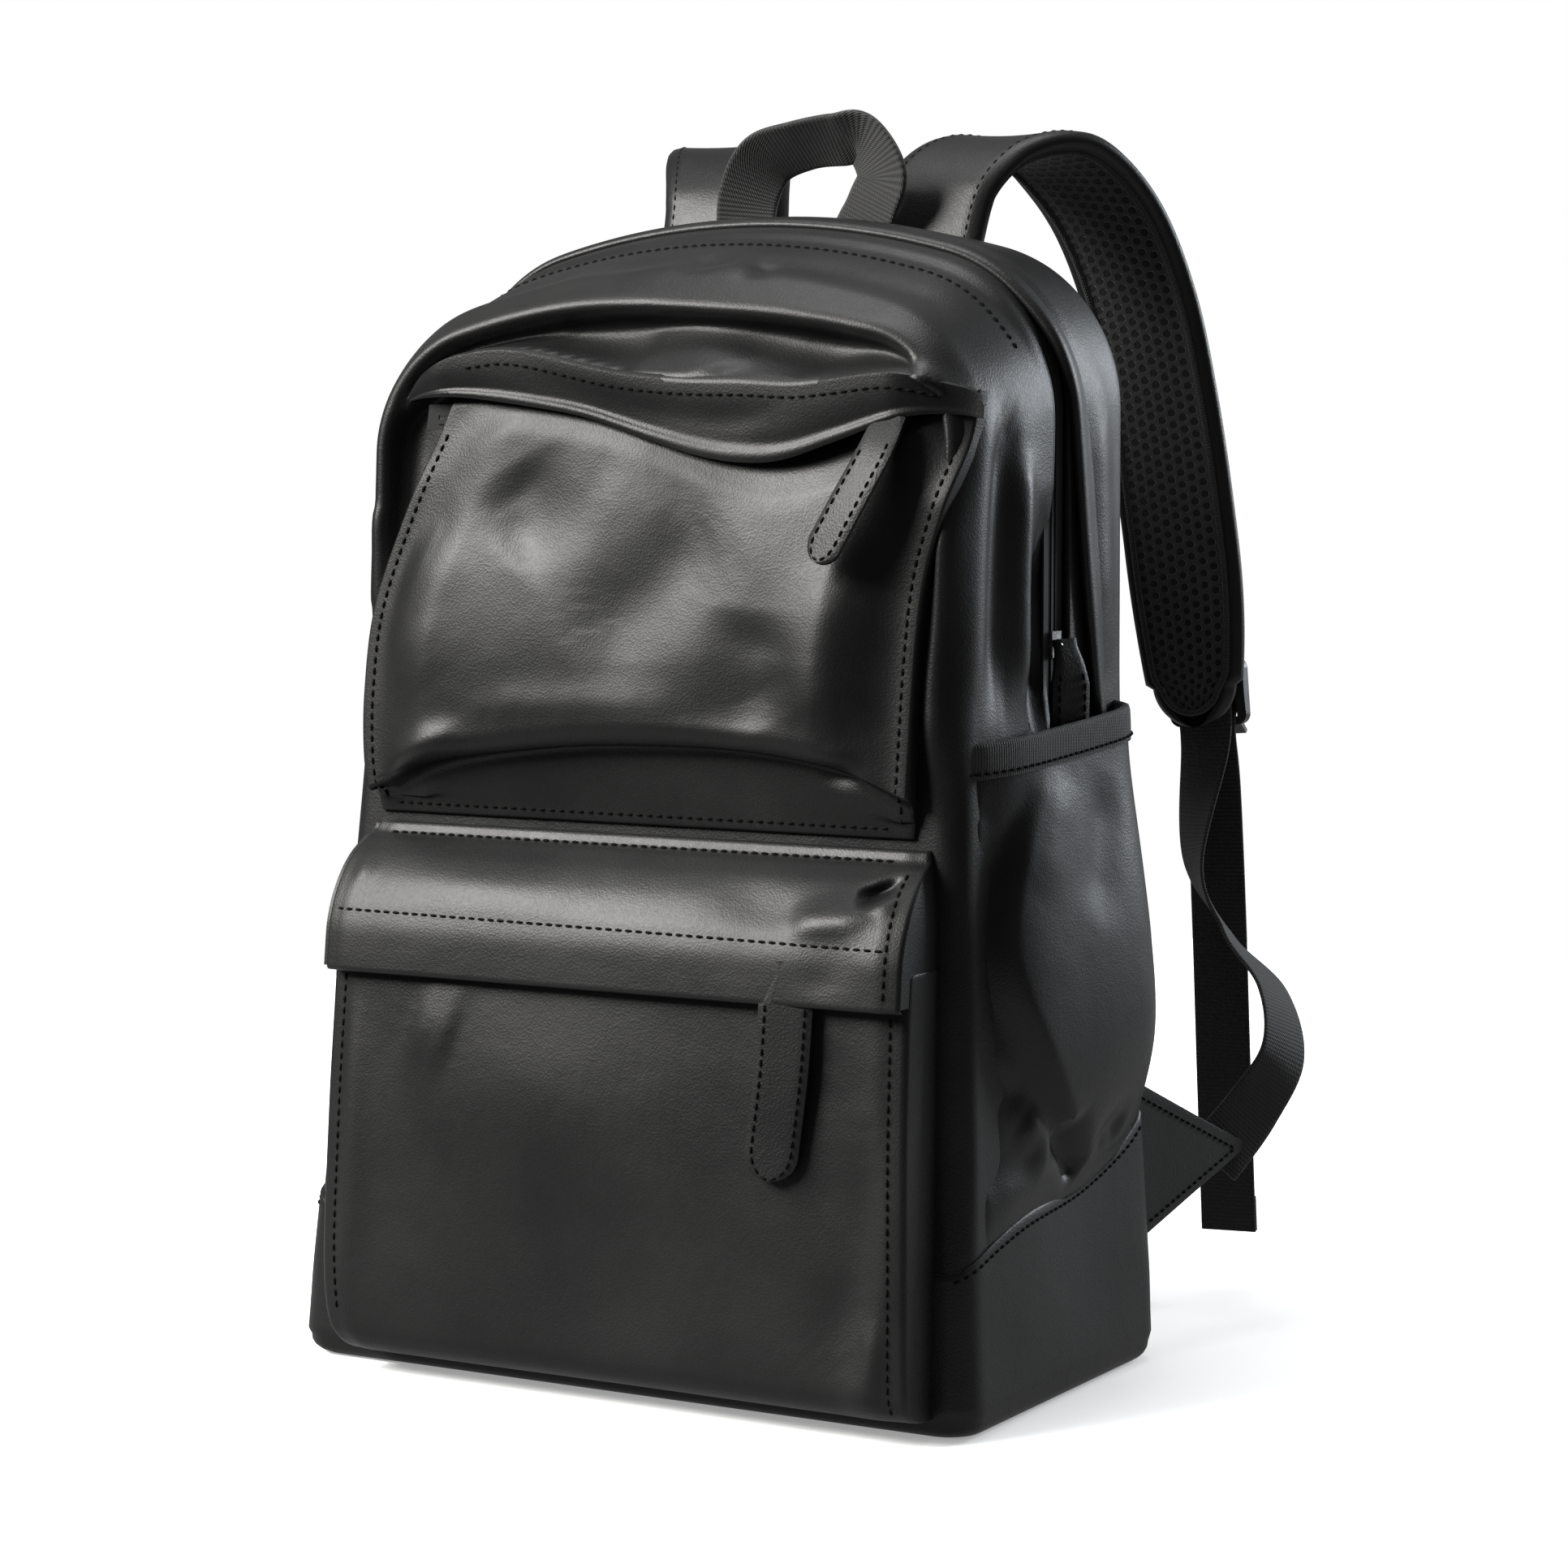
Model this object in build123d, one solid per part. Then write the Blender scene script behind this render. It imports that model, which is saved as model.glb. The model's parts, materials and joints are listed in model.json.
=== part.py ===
from build123d import *
import os
from math import cos, pi, sin, sqrt

# Zipped day backpack in soft leather, millimetres.
# X runs across the bag, -Y is the front, +Y the side worn on the back, +Z is up.
# The origin is the centre of the flat base.

# ---- driving dimensions -------------------------------------------------------------------------
DEPTH = 165.0                # base, front to back
CREST_Z = 450.0              # top of the arch
BASE_HALF_W = 150.0          # half width at the floor
SIDE_HALF_W = 133.0          # half width above the side pockets
FLARE_TOP_Z = 250.0          # the sides are upright above this height
TOP_ARCH_R = 330.0           # crown of the top, seen from the front
TOP_CORNER_R = 66.0          # upper corners, seen from the front
FRONT_CREST = 424.0          # top of the front face, measured up the face
FRONT_CORNER_R = 56.0
FRONT_LEAN = 40.0            # how far the front face has moved back at crest height
TOP_BREAK_Y = 40.0           # the sloping top reaches the crest here
BACK_CREST_DROP = 2.0
FRONT_EDGE_R = 11.0
BACK_EDGE_R = 9.0
BASE_EDGE_R = 6.0

WALL = 2.4                   # leather with its backing
LINING = 1.0                 # inner cloth
SEAM_DEPTH = 14.0            # front seam, behind the front face
BACK_SEAM_DEPTH = 12.0       # back seam, in front of the back face
GAP = 0.5                    # between pieces that move against each other
SEAT = 0.05                  # between curved pieces that lie on each other

BOOT_FRONT_Z = 60.0          # height of the base band at the front
BOOT_MID_Z = 76.0
BOOT_REAR_Z = 108.0

FLAP_Z = 216.0               # fold line of the front flap
ZIP_Y = 20.0                 # main zip, mid depth
ZIP_HALF = 8.0               # half the slot that the zip closes
CHAIN_HALF = 2.6             # half the width of the two rows of teeth
ROW_GAP = 0.8                # half the slit between the rows, where the slider's wedge runs
CHAIN_T = 2.0
TAPE_T = 0.8
TAPE_DEPTH = 1.0             # the tape lies this far below the leather's outer face
CHAIN_TOP = -TAPE_DEPTH - TAPE_T / 2 + CHAIN_T / 2

# lower front pocket
LP_HALF_W = 124.0
LP_BOTTOM_Z = 12.0
LP_BAND_Z = 183.0            # stitched upper edge of the band that hides the zip
LP_TOP_Z = 212.0
LP_PROUD = 24.0              # how far the face stands off the bag
LP_TOP_PROUD = 3.0
LP_CORNER_R = 11.0
BAND_DROP = 24.0             # band height below its stitched edge
BAND_T = 1.8

# upper front pocket
UP_BOTTOM_Z = 224.0
UP_TOP_Z = 366.0
UP_BOTTOM_HALF_W = 116.0
UP_TOP_HALF_W = 104.0
UP_RIM_PROUD = 4.0
UP_BULGE = 17.0
HOOD_RISE = 22.0             # stitched edge of the zip hood above the pocket mouth
HOOD_DROP = 4.0
HOOD_SAG = 14.0
HOOD_T = 2.0

# side pockets
SP_FRONT_Y = -62.0
SP_REAR_Y = 66.0
SP_TOP_Z = 250.0             # rim at the front
SP_REAR_TOP_Z = 257.0
SP_SINK = 3.0                # the form runs this far into the bag, and is cut along its side
SP_BULGE = 20.0
SP_MOUTH_BULGE = 14.0
SP_WALL = 1.8
SP_BINDING_H = 11.0
SP_BINDING_T = 1.0
FLAP_PLAY = 2.6              # room between the opening flap and a side pocket

# webbing and shoulder straps
WEB_W = 25.0
WEB_T = 1.6
PAD_W = 52.0
PAD_SKIN_T = 1.5
PAD_FOAM_T = 6.5
PAD_MESH_T = 1.5
PIPING_T = 2.0
PIPING_OVER = 1.2
STATIONS = 22
STRAP_ROUTE = [(48, 86, 438), (51, 97, 464), (61, 117, 479), (73, 141, 477), (85, 163, 455), (94, 178, 420),
               (101, 186, 376), (107, 190, 330), (112, 192, 285), (116, 192, 242)]

# haul handle
HANDLE_HALF_SPAN = 31.0
HANDLE_RISE = 44.0
HANDLE_Y = DEPTH / 2 - 8.5

# ladder locks
LOCK_W = 35.0
LOCK_H = 28.0
LOCK_T = 6.0
LOCK_RAIL = 4.2
LOCK_BAR = 3.4
LOCK_OFFSET = 9.0            # behind the leather face of the strap
LOCK_DROP = 14.0             # middle of the lock above the tip of the strap

# zip pulls and sliders
PULL_W = 19.0
PULL_L = 64.0
PULL_T = 3.0
MAIN_SLIDER_Z = 285.0
SLIDER_W = 8.4
SLIDER_L = 10.0
SLIDER_PLATE = 1.1
LIP_T = 0.8

# back and inside
PAD_STAND = 9.0
PAD_MARGIN = 16.0
PAD_CHANNEL = 14.0
PAD_SPLIT_Z = 138.0
PAD_FOOT_Z = 34.0
PAD_HEAD_Z = 402.0
SLEEVE_ROOM = 19.5           # between the padded sleeve and the back
SLEEVE_T = 5.0
SLEEVE_TOP_Z = 300.0
SLEEVE_SCOOP = 20.0
SLEEVE_SCOOP_R = 200.0

BIG = 800.0
UNDERCUT = 20.0              # the sides run on below the floor before the base is cut flat
FRONT_Y = -DEPTH / 2
BACK_Y = DEPTH / 2
SLOPE = FRONT_LEAN / CREST_Z


def front_y(z, proud=0.0):
    """Y of the leaning front face at height z, plus a stand-off in front of it."""
    return FRONT_Y + SLOPE * z - proud


def side_x(z):
    """Half width of the bag at height z, below the upper corners."""
    return SIDE_HALF_W + (BASE_HALF_W - SIDE_HALF_W) * max(0.0, 1 - z / FLARE_TOP_Z)


def polygon(points, plane):
    return plane * make_face(Polyline(*points, close=True))


def prism_x(points, half=BIG):
    """A (y, z) polygon extruded across the bag."""
    return extrude(polygon(points, Plane.YZ), half, both=True)


def prism_y(points, half=BIG):
    """An (x, z) polygon extruded from front to back."""
    return extrude(polygon(points, Plane.XZ), half, both=True)


def slab(x=(-BIG, BIG), y=(-BIG, BIG), z=(-BIG, BIG)):
    """A block between these limits."""
    size = [hi - lo for lo, hi in (x, y, z)]
    middle = [(hi + lo) / 2 for lo, hi in (x, y, z)]
    return Pos(*middle) * Box(*size)


def one_solid(shape):
    """The largest solid of a result, so that a node never carries a stray sliver."""
    return max(shape.solids(), key=lambda s: s.volume)


def mirrored(shape):
    return mirror(shape, about=Plane.YZ)


# ---- main envelope ------------------------------------------------------------------------------
def outline(inset, crest, corner):
    """Front view of the bag: flared sides, round upper corners and a crowned top, all tangent."""
    corner_r, arch_r = corner - inset, TOP_ARCH_R - inset
    arch_z, corner_x, reach = crest - TOP_ARCH_R, SIDE_HALF_W - corner, TOP_ARCH_R - corner
    corner_z = arch_z + sqrt(reach ** 2 - corner_x ** 2)
    lean = corner_x / reach
    joint = (lean * arch_r, arch_z + sqrt(1 - lean ** 2) * arch_r)
    bend = (corner_x + corner_r * sqrt((1 + lean) / 2), corner_z + corner_r * sqrt((1 - lean) / 2))
    base = (side_x(-UNDERCUT) - inset, -UNDERCUT)
    shoulder = (SIDE_HALF_W - inset, corner_z)
    right = Polyline(base, (SIDE_HALF_W - inset, FLARE_TOP_Z), shoulder) + ThreePointArc(shoulder, bend, joint)
    left = mirror(right, about=Plane.YZ)
    floor = Line((-base[0], base[1]), base)
    return make_face(right + left + floor + ThreePointArc(joint, (0, arch_z + arch_r), (-joint[0], joint[1])))


def bag_form(inset):
    """The filled form of the bag: a leaning front outline lofted to the upright crest and back outlines."""
    normal = Vector(0, -1, SLOPE).normalized()
    front = Plane(origin=Vector(0, FRONT_Y, 0) - normal * inset, x_dir=(1, 0, 0), z_dir=normal)
    upright = [Plane(origin=(0, y, 0), x_dir=(1, 0, 0), z_dir=(0, -1, 0)) for y in (TOP_BREAK_Y, BACK_Y - inset)]
    faces = [front * outline(inset, FRONT_CREST, FRONT_CORNER_R),
             upright[0] * outline(inset, CREST_Z, TOP_CORNER_R),
             upright[1] * outline(inset, CREST_Z - BACK_CREST_DROP, TOP_CORNER_R)]
    form = Solid(loft(faces, ruled=True).wrapped)
    above = [e for e in form.edges() if e.center().Z > 1]
    rim = [e for e in above if e.center().Y < front_y(e.center().Z) + 2 * abs(inset) + 2]
    form = fillet(rim, FRONT_EDGE_R - inset)
    rim = [e for e in form.edges() if e.center().Y > BACK_Y - inset - 0.5 and e.center().Z > 1]
    form = fillet(rim, BACK_EDGE_R - inset)
    form = one_solid(form & slab(z=(inset, BIG)))
    return fillet([e for e in form.edges() if e.center().Z < inset + 0.1], BASE_EDGE_R - inset)


OUTER = bag_form(0)
INNER = bag_form(WALL)
SHELL = OUTER - INNER
LINING_SHELL = INNER - bag_form(WALL + LINING)


# ---- panels cut from the shell ------------------------------------------------------------------
def front_zone(depth):
    """Everything in front of a plane that lies this far behind the leaning front face."""
    low, high = -BIG, BIG
    return prism_x([(-BIG, low), (front_y(low, -depth), low), (front_y(high, -depth), high), (-BIG, high)])


def boot_zone():
    """The base band, level at the front and rising towards the back."""
    return prism_x([(-BIG, BOOT_FRONT_Z), (front_y(BOOT_FRONT_Z, -SEAM_DEPTH), BOOT_FRONT_Z), (ZIP_Y, BOOT_MID_Z),
                    (BACK_Y, BOOT_REAR_Z), (BACK_Y, -BIG), (-BIG, -BIG)])


FRONT = front_zone(SEAM_DEPTH)
BACK = slab(y=(BACK_Y - BACK_SEAM_DEPTH, BIG))
BOOT = boot_zone()
BELOW_FOLD = slab(z=(-BIG, FLAP_Z))
ABOVE_FOLD = slab(z=(FLAP_Z + GAP, BIG))


def bag_panels():
    """Leather panels of the main compartment, cut from one shell along its seams."""
    around = SHELL - FRONT - BACK
    sides = (around - BOOT) & BELOW_FOLD
    arch = around & ABOVE_FOLD
    back = SHELL & BACK
    return {
        "base_boot": one_solid((SHELL - BACK) & BOOT),
        "back_panel": one_solid(back),
        "lower_front_panel": one_solid(((SHELL & FRONT) - BOOT) & BELOW_FOLD),
        "upper_front_panel": one_solid((SHELL & FRONT) & ABOVE_FOLD),
        "side_panel_left": one_solid(sides & slab(x=(-BIG, 0))),
        "side_panel_right": one_solid(sides & slab(x=(0, BIG))),
        "front_gusset": one_solid(arch & slab(y=(-BIG, ZIP_Y - ZIP_HALF))),
        "rear_gusset": one_solid((around - BOOT) & slab(y=(ZIP_Y + ZIP_HALF, BIG), z=(FLAP_Z, BIG))),
    }


def linings():
    """Cloth lining: one bag inside the fixed panels and one inside the flap."""
    zip_front = slab(y=(-BIG, ZIP_Y - ZIP_HALF))
    zip_rear = slab(y=(ZIP_Y + ZIP_HALF, BIG))
    return {
        "flap_lining": one_solid(LINING_SHELL & ABOVE_FOLD & zip_front),
        "bag_lining": one_solid(LINING_SHELL - (slab(z=(FLAP_Z, BIG)) - zip_rear)),
    }


def main_zip():
    """Each half of the main zip: a tape let in between the gussets, with its row of teeth on top."""
    tape = bag_form(TAPE_DEPTH) - bag_form(TAPE_DEPTH + TAPE_T)
    chain = bag_form(-CHAIN_TOP) - bag_form(CHAIN_T - CHAIN_TOP)
    front = slab(y=(ZIP_Y - ZIP_HALF, ZIP_Y - ROW_GAP), z=(FLAP_Z + GAP, BIG))
    rear = slab(y=(ZIP_Y + ROW_GAP, ZIP_Y + ZIP_HALF), z=(FLAP_Z, BIG))
    teeth = slab(y=(ZIP_Y - CHAIN_HALF, ZIP_Y + CHAIN_HALF))
    return {
        "main_zip_front": one_solid((front & tape) + (front & chain & teeth)),
        "main_zip_rear": one_solid((rear & tape) + (rear & chain & teeth)),
    }


# ---- lofted strips ------------------------------------------------------------------------------
def strip(middles, acrosses, outs, widths, low, high):
    """A solid strip: width along across, from low to high along out, with smooth edges through every station."""
    rails = [Spline(*[m + a * (side * w / 2) + o * rise for m, a, o, w in zip(middles, acrosses, outs, widths)])
             for side, rise in ((-1, low), (1, low), (1, high), (-1, high))]
    walls = [Face.make_surface_from_curves(first, second) for first, second in zip(rails, rails[1:] + rails[:1])]
    ends = [make_face(Polyline(*[rail @ place for rail in rails], close=True)) for place in (0, 1)]
    return Solid(Shell(walls + ends))


def stations(route, count):
    """Evenly spaced points and directions along a smooth curve through the route."""
    curve = Spline(*route)
    steps = [i / (count - 1) for i in range(count)]
    return [curve @ s for s in steps], [(curve % s).normalized() for s in steps], curve.length


def webbing(route, acrosses, width=WEB_W, thickness=WEB_T, count=14):
    """Flat webbing along a route, turning from one width direction to the next."""
    points, tangents, _ = stations(route, count)
    frames = []
    for i, (point, tangent) in enumerate(zip(points, tangents)):
        place = i / (count - 1) * (len(acrosses) - 1)
        first = min(int(place), len(acrosses) - 2)
        share = place - first
        across = Vector(*acrosses[first]) * (1 - share) + Vector(*acrosses[first + 1]) * share
        across = (across - tangent * across.dot(tangent)).normalized()
        frames.append((point, across, tangent.cross(across).normalized()))
    middles, sides, outs = zip(*frames)
    return strip(middles, sides, outs, [width] * count, -thickness / 2, thickness / 2)


# ---- zip sliders and leather pulls --------------------------------------------------------------
# Local frame of a zip: z is outward from the leather, y is up the surface, x lies along the pull's pin.
PLAY = 0.2                   # between slider and teeth
POST_T = 0.8
PIN_R = 0.7
PIN_LEN = 8.0
PIN_OUT = 3.8
LOOP_PLAY = 0.9              # a loose loop, so that the pull can hang a little askew
LOOP_T = 1.0
LOOP_W = PIN_LEN - 2 * POST_T - 2.4 * LOOP_PLAY
NECK_L = 7.0


def slider(along_pin, lips):
    """Zip slider: two tapered plates joined by a wedge, side lips, and a pin on two posts for the pull."""
    top, low = CHAIN_TOP + PLAY, CHAIN_TOP - CHAIN_T - PLAY
    half, nose = SLIDER_W / 2, 0.86 * SLIDER_W / 2
    plate = polygon([(-SLIDER_L / 2, -nose), (-SLIDER_L / 4, -half), (SLIDER_L / 2, -half),
                     (SLIDER_L / 2, half), (-SLIDER_L / 4, half), (-SLIDER_L / 2, nose)], Plane.XY)
    body = extrude(Pos(0, 0, top) * plate, SLIDER_PLATE) + extrude(Pos(0, 0, low - SLIDER_PLATE) * plate, SLIDER_PLATE)
    body += Pos(SLIDER_L / 2 - 1.5, 0, (top + low) / 2) * Box(3.0, 2 * (ROW_GAP - PLAY), top - low)
    rim_h = (top - low - TAPE_T) / 2 - PLAY
    for side in lips:
        rim = extrude(plate, rim_h) - Pos(0, -side * LIP_T, 0) * extrude(plate, rim_h)
        rim = rim & slab(y=(0, BIG) if side > 0 else (-BIG, 0))
        body += Pos(0, 0, top - rim_h) * rim
        body += Pos(0, 0, low) * rim
    if not along_pin:
        body = Rot(0, 0, 90) * body
    floor = top + SLIDER_PLATE
    for side in (-1, 1):
        x = side * (PIN_LEN - POST_T) / 2
        body += Pos(x, 0, (floor + PIN_OUT) / 2) * Box(POST_T, 2 * PIN_R, PIN_OUT - floor)
        body += Pos(x, 0, PIN_OUT) * Rot(0, 90, 0) * Cylinder(PIN_R + 0.3, POST_T)
    body += Pos(0, 0, PIN_OUT) * Rot(0, 90, 0) * Cylinder(PIN_R, PIN_LEN)
    return one_solid(body)


def leather_pull():
    """Two-ply leather pull, looped round the slider's pin and rounded at its lower end."""
    hole = PIN_R + LOOP_PLAY
    rim = hole + LOOP_T
    half = PULL_W / 2
    neck = polygon([(-LOOP_W / 2, 0), (LOOP_W / 2, 0), (LOOP_W / 2, -NECK_L / 2), (half, -NECK_L - 3),
                    (half, half - PULL_L), (-half, half - PULL_L), (-half, -NECK_L - 3), (-LOOP_W / 2, -NECK_L / 2)],
                   Plane.XY)
    sheet = neck + Pos(0, half - PULL_L) * Circle(half)
    body = Pos(0, 0, -PULL_T / 2) * extrude(sheet, PULL_T)
    loop = Rot(0, 90, 0) * Cylinder(rim, LOOP_W)
    bore = Rot(0, 90, 0) * Cylinder(hole, PULL_W)
    keep_clear = Pos(0, rim, 0) * Box(PULL_W, 2 * rim, 4 * rim)
    body = (body - keep_clear) + loop - bore
    return Pos(0, 0, PIN_OUT) * one_solid(body)


def front_frame(x, z, proud):
    """Local frame on the leaning front: x across the bag, z out of the leather."""
    return Plane(origin=(x, front_y(z, proud), z), x_dir=(1, 0, 0), z_dir=(0, -1, SLOPE))


def side_frame(y, z):
    """Local frame on the right-hand side of the bag."""
    return Plane(origin=(SIDE_HALF_W, y, z), x_dir=(0, 1, 0), z_dir=(1, 0, 0))


# ---- lower front pocket -------------------------------------------------------------------------
LP_WALL = 1.8
LP_ZIP_Z = 172.0
LP_ZIP_HALF = 5.0
LP_SLIDER_X = 82.0
BAND_STAND = 8.0


def lp_form(inset):
    """The filled form of the lower pocket, standing on the front face."""
    bottom = LP_BOTTOM_Z + inset
    proud = LP_PROUD - inset
    top = LP_TOP_Z - inset
    behind = DEPTH / 4
    points = [(front_y(bottom) + behind, bottom), (front_y(bottom, proud), bottom),
              (front_y(LP_BAND_Z, proud), LP_BAND_Z), (front_y(top, LP_TOP_PROUD - inset), top),
              (front_y(top) + behind, top)]
    form = prism_x(points, LP_HALF_W - inset)
    round_r = LP_CORNER_R - inset
    uprights = [e for e in form.edges() if abs(e.center().X) > 1 and e.center().Y < front_y(e.center().Z, 1.0)]
    across = form.edges().filter_by(Axis.X).group_by(Axis.Y)[0]
    uprights = [e for e in uprights if e not in across and abs(e.tangent_at(0.5).X) < 0.5
                and abs(e.tangent_at(0.5).Z) > 0.5]
    return fillet(uprights + list(across), round_r)


def lower_pocket():
    """Tray, top panel, zip and the band that hides it."""
    form = lp_form(0)
    shell = form - lp_form(LP_WALL) - OUTER
    low, high = LP_ZIP_Z - LP_ZIP_HALF, LP_ZIP_Z + LP_ZIP_HALF
    tape_ring = lp_form(TAPE_DEPTH) - lp_form(TAPE_DEPTH + TAPE_T) - OUTER
    teeth_ring = lp_form(-CHAIN_TOP) - lp_form(CHAIN_T - CHAIN_TOP) - OUTER
    face_only = slab(x=(-LP_HALF_W + LP_CORNER_R, LP_HALF_W - LP_CORNER_R))
    tape = tape_ring & slab(z=(low, high))
    teeth = teeth_ring & face_only & slab(z=(LP_ZIP_Z - CHAIN_HALF, LP_ZIP_Z + CHAIN_HALF))
    slit = face_only & slab(z=(LP_ZIP_Z - ROW_GAP, LP_ZIP_Z + ROW_GAP))
    free = LP_BAND_Z - BAND_DROP
    band = prism_x([(front_y(LP_BAND_Z, LP_PROUD), LP_BAND_Z),
                    (front_y(high, LP_PROUD + BAND_STAND), high),
                    (front_y(free, LP_PROUD + BAND_STAND), free),
                    (front_y(free, LP_PROUD + BAND_STAND + BAND_T), free),
                    (front_y(high, LP_PROUD + BAND_STAND + BAND_T), high),
                    (front_y(LP_BAND_Z + BAND_T, LP_PROUD + BAND_T), LP_BAND_Z + BAND_T)], LP_HALF_W - 1)
    return {
        "lower_pocket_tray": one_solid(shell & slab(z=(-BIG, low))),
        "lower_pocket_top": one_solid(shell & slab(z=(high, BIG))),
        "lower_zip": one_solid(tape + teeth - slit),
        "lower_band": one_solid(band - form),
    }


# ---- upper front pocket -------------------------------------------------------------------------
UP_ZIP_Z = UP_TOP_Z + 5
UP_RIM_TOP_Z = UP_ZIP_Z + 11
UP_TOP_PROUD = 7.0
UP_CORNER_R = 12.0
UP_WALL = 1.8
UP_SLIDER_X = 88.0
UP_PULL_LIFT = 13.0          # degrees; the pull lies on the swelling of the pocket
UP_PULL_SKEW = -20.0         # degrees; and hangs askew in its loose loop
HOOD_STAND = 11.0


def up_half_w(z):
    share = (z - UP_BOTTOM_Z) / (UP_TOP_Z - UP_BOTTOM_Z)
    return UP_BOTTOM_HALF_W + (UP_TOP_HALF_W - UP_BOTTOM_HALF_W) * share


def up_form(inset):
    """The filled form of the upper pocket: a trapezoid that bulges most near its lower edge."""
    bottom, top = UP_BOTTOM_Z + inset, UP_RIM_TOP_Z - inset
    height = UP_TOP_Z - UP_BOTTOM_Z
    belly_z, chest_z, mouth_z = UP_BOTTOM_Z + 0.27 * height, UP_BOTTOM_Z + 0.67 * height, UP_ZIP_Z - LP_ZIP_HALF
    behind = DEPTH / 4
    face = Spline((front_y(bottom, UP_RIM_PROUD), bottom), (front_y(belly_z, UP_RIM_PROUD + UP_BULGE - inset), belly_z),
                  (front_y(chest_z, UP_RIM_PROUD + 0.74 * UP_BULGE - inset), chest_z), (front_y(mouth_z, UP_TOP_PROUD - inset), mouth_z))
    rest = Polyline(face @ 1, (front_y(top, UP_TOP_PROUD - inset), top), (front_y(top) + behind, top),
                    (front_y(bottom) + behind, bottom), face @ 0)
    form = extrude(Plane.YZ * make_face(face + rest), BIG, both=True)
    front = make_face(Polyline((-up_half_w(bottom) + inset, bottom), (up_half_w(bottom) - inset, bottom),
                               (up_half_w(top) - inset, top), (-up_half_w(top) + inset, top), close=True))
    front = fillet(front.vertices().group_by(Axis.Y)[0], UP_CORNER_R - inset)
    return form & extrude(Plane.XZ * front, BIG, both=True)


def upper_pocket():
    """Bulging panel, zip and the leather hood over the zip; all of it on the front flap."""
    form = up_form(0)
    shell = form - up_form(UP_WALL) - OUTER
    low, high = UP_ZIP_Z - LP_ZIP_HALF, UP_ZIP_Z + LP_ZIP_HALF
    tape = (up_form(TAPE_DEPTH) - up_form(TAPE_DEPTH + TAPE_T) - OUTER) & slab(z=(low, high))
    chain_reach = up_half_w(UP_ZIP_Z) - 6
    teeth = up_form(-CHAIN_TOP) - up_form(CHAIN_T - CHAIN_TOP) - OUTER
    teeth = teeth & slab(x=(-chain_reach, chain_reach), z=(UP_ZIP_Z - CHAIN_HALF, UP_ZIP_Z + CHAIN_HALF))
    slit = slab(x=(-chain_reach, chain_reach), z=(UP_ZIP_Z - ROW_GAP, UP_ZIP_Z + ROW_GAP))
    stitched = UP_ZIP_Z + HOOD_RISE
    stand = UP_TOP_PROUD + HOOD_STAND
    end_z = low - HOOD_DROP
    foot = end_z - HOOD_SAG - 2
    hood = prism_x([(front_y(stitched), stitched), (front_y(high + 4, stand), high + 4), (front_y(foot, stand), foot),
                    (front_y(foot, stand + HOOD_T), foot), (front_y(high + 5, stand + HOOD_T), high + 5),
                    (front_y(stitched + HOOD_T), stitched + HOOD_T)], up_half_w(UP_ZIP_Z) + 8)
    reach = up_half_w(UP_ZIP_Z) + 8
    arc = ThreePointArc((-reach, end_z), (0, end_z - HOOD_SAG), (reach, end_z))
    frame = Polyline((reach, end_z), (reach, foot - 20), (-reach, foot - 20), (-reach, end_z))
    hood -= extrude(Plane.XZ * make_face(arc + frame), BIG, both=True)
    return {
        "upper_pocket_panel": one_solid(shell & slab(z=(-BIG, low))),
        "upper_pocket_top": one_solid(shell & slab(z=(high, BIG))),
        "upper_zip": one_solid(tape + teeth - slit),
        "upper_hood": one_solid(hood - OUTER - form),
    }


# ---- side pockets -------------------------------------------------------------------------------
SP_SECTIONS = [(61.0, 103.0, 2.5), (105.0, 138.0, 17.0), (180.0, 196.0, SP_BULGE), (SP_TOP_Z, SP_REAR_TOP_Z, SP_MOUTH_BULGE)]


def sp_form(inset, lift_top=0.0):
    """Right side pocket as a filled form, sunk into the flared side of the bag."""
    faces = []
    for front_z, rear_z, bulge in SP_SECTIONS:
        lift = lift_top if front_z == SP_TOP_Z else 0
        a = Vector(side_x(front_z) - SP_SINK, SP_FRONT_Y + 1.5 * inset, front_z + lift)
        b = Vector(side_x(rear_z) - SP_SINK, SP_REAR_Y - 1.5 * inset, rear_z + lift)
        middle = (a + b) * 0.5 + Vector(SP_SINK + bulge - inset, 0, 0)
        faces.append(make_face(Line(a, b) + ThreePointArc(b, middle, a)))
    return Solid(loft(faces).wrapped)


def rim_z(y):
    """Height of the side pocket's rim, rising towards the back."""
    return SP_TOP_Z + (SP_REAR_TOP_Z - SP_TOP_Z) * (y - SP_FRONT_Y) / (SP_REAR_Y - SP_FRONT_Y)


def side_pocket():
    """Leather side pocket, open at the top, with webbing bound over its rim.

    Above the fold its front part stands off the bag, so that the flap can pass inside it.
    """
    low = FLAP_Z - SP_WALL
    path = prism_y([(-BIG, low), (side_x(low) + FLAP_PLAY, low), (side_x(FLARE_TOP_Z) + FLAP_PLAY, FLARE_TOP_Z),
                    (side_x(FLARE_TOP_Z) + FLAP_PLAY, BIG), (-BIG, BIG)])
    clear = bag_form(-SEAT) + (path & slab(y=(-BIG, ZIP_Y + ZIP_HALF)))
    pouch = sp_form(0) - sp_form(SP_WALL, 1) - BOOT - clear
    ends = SP_FRONT_Y - 2 * SP_WALL, SP_REAR_Y + 2 * SP_WALL
    rim_zone = prism_x([(ends[0], rim_z(ends[0]) - SP_BINDING_H), (ends[1], rim_z(ends[1]) - SP_BINDING_H),
                        (ends[1], BIG), (ends[0], BIG)])
    binding = (sp_form(-SP_BINDING_T) - sp_form(0, 1)) & rim_zone
    return {"side_pocket": one_solid(pouch), "side_binding": one_solid(binding - clear - pouch)}


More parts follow.
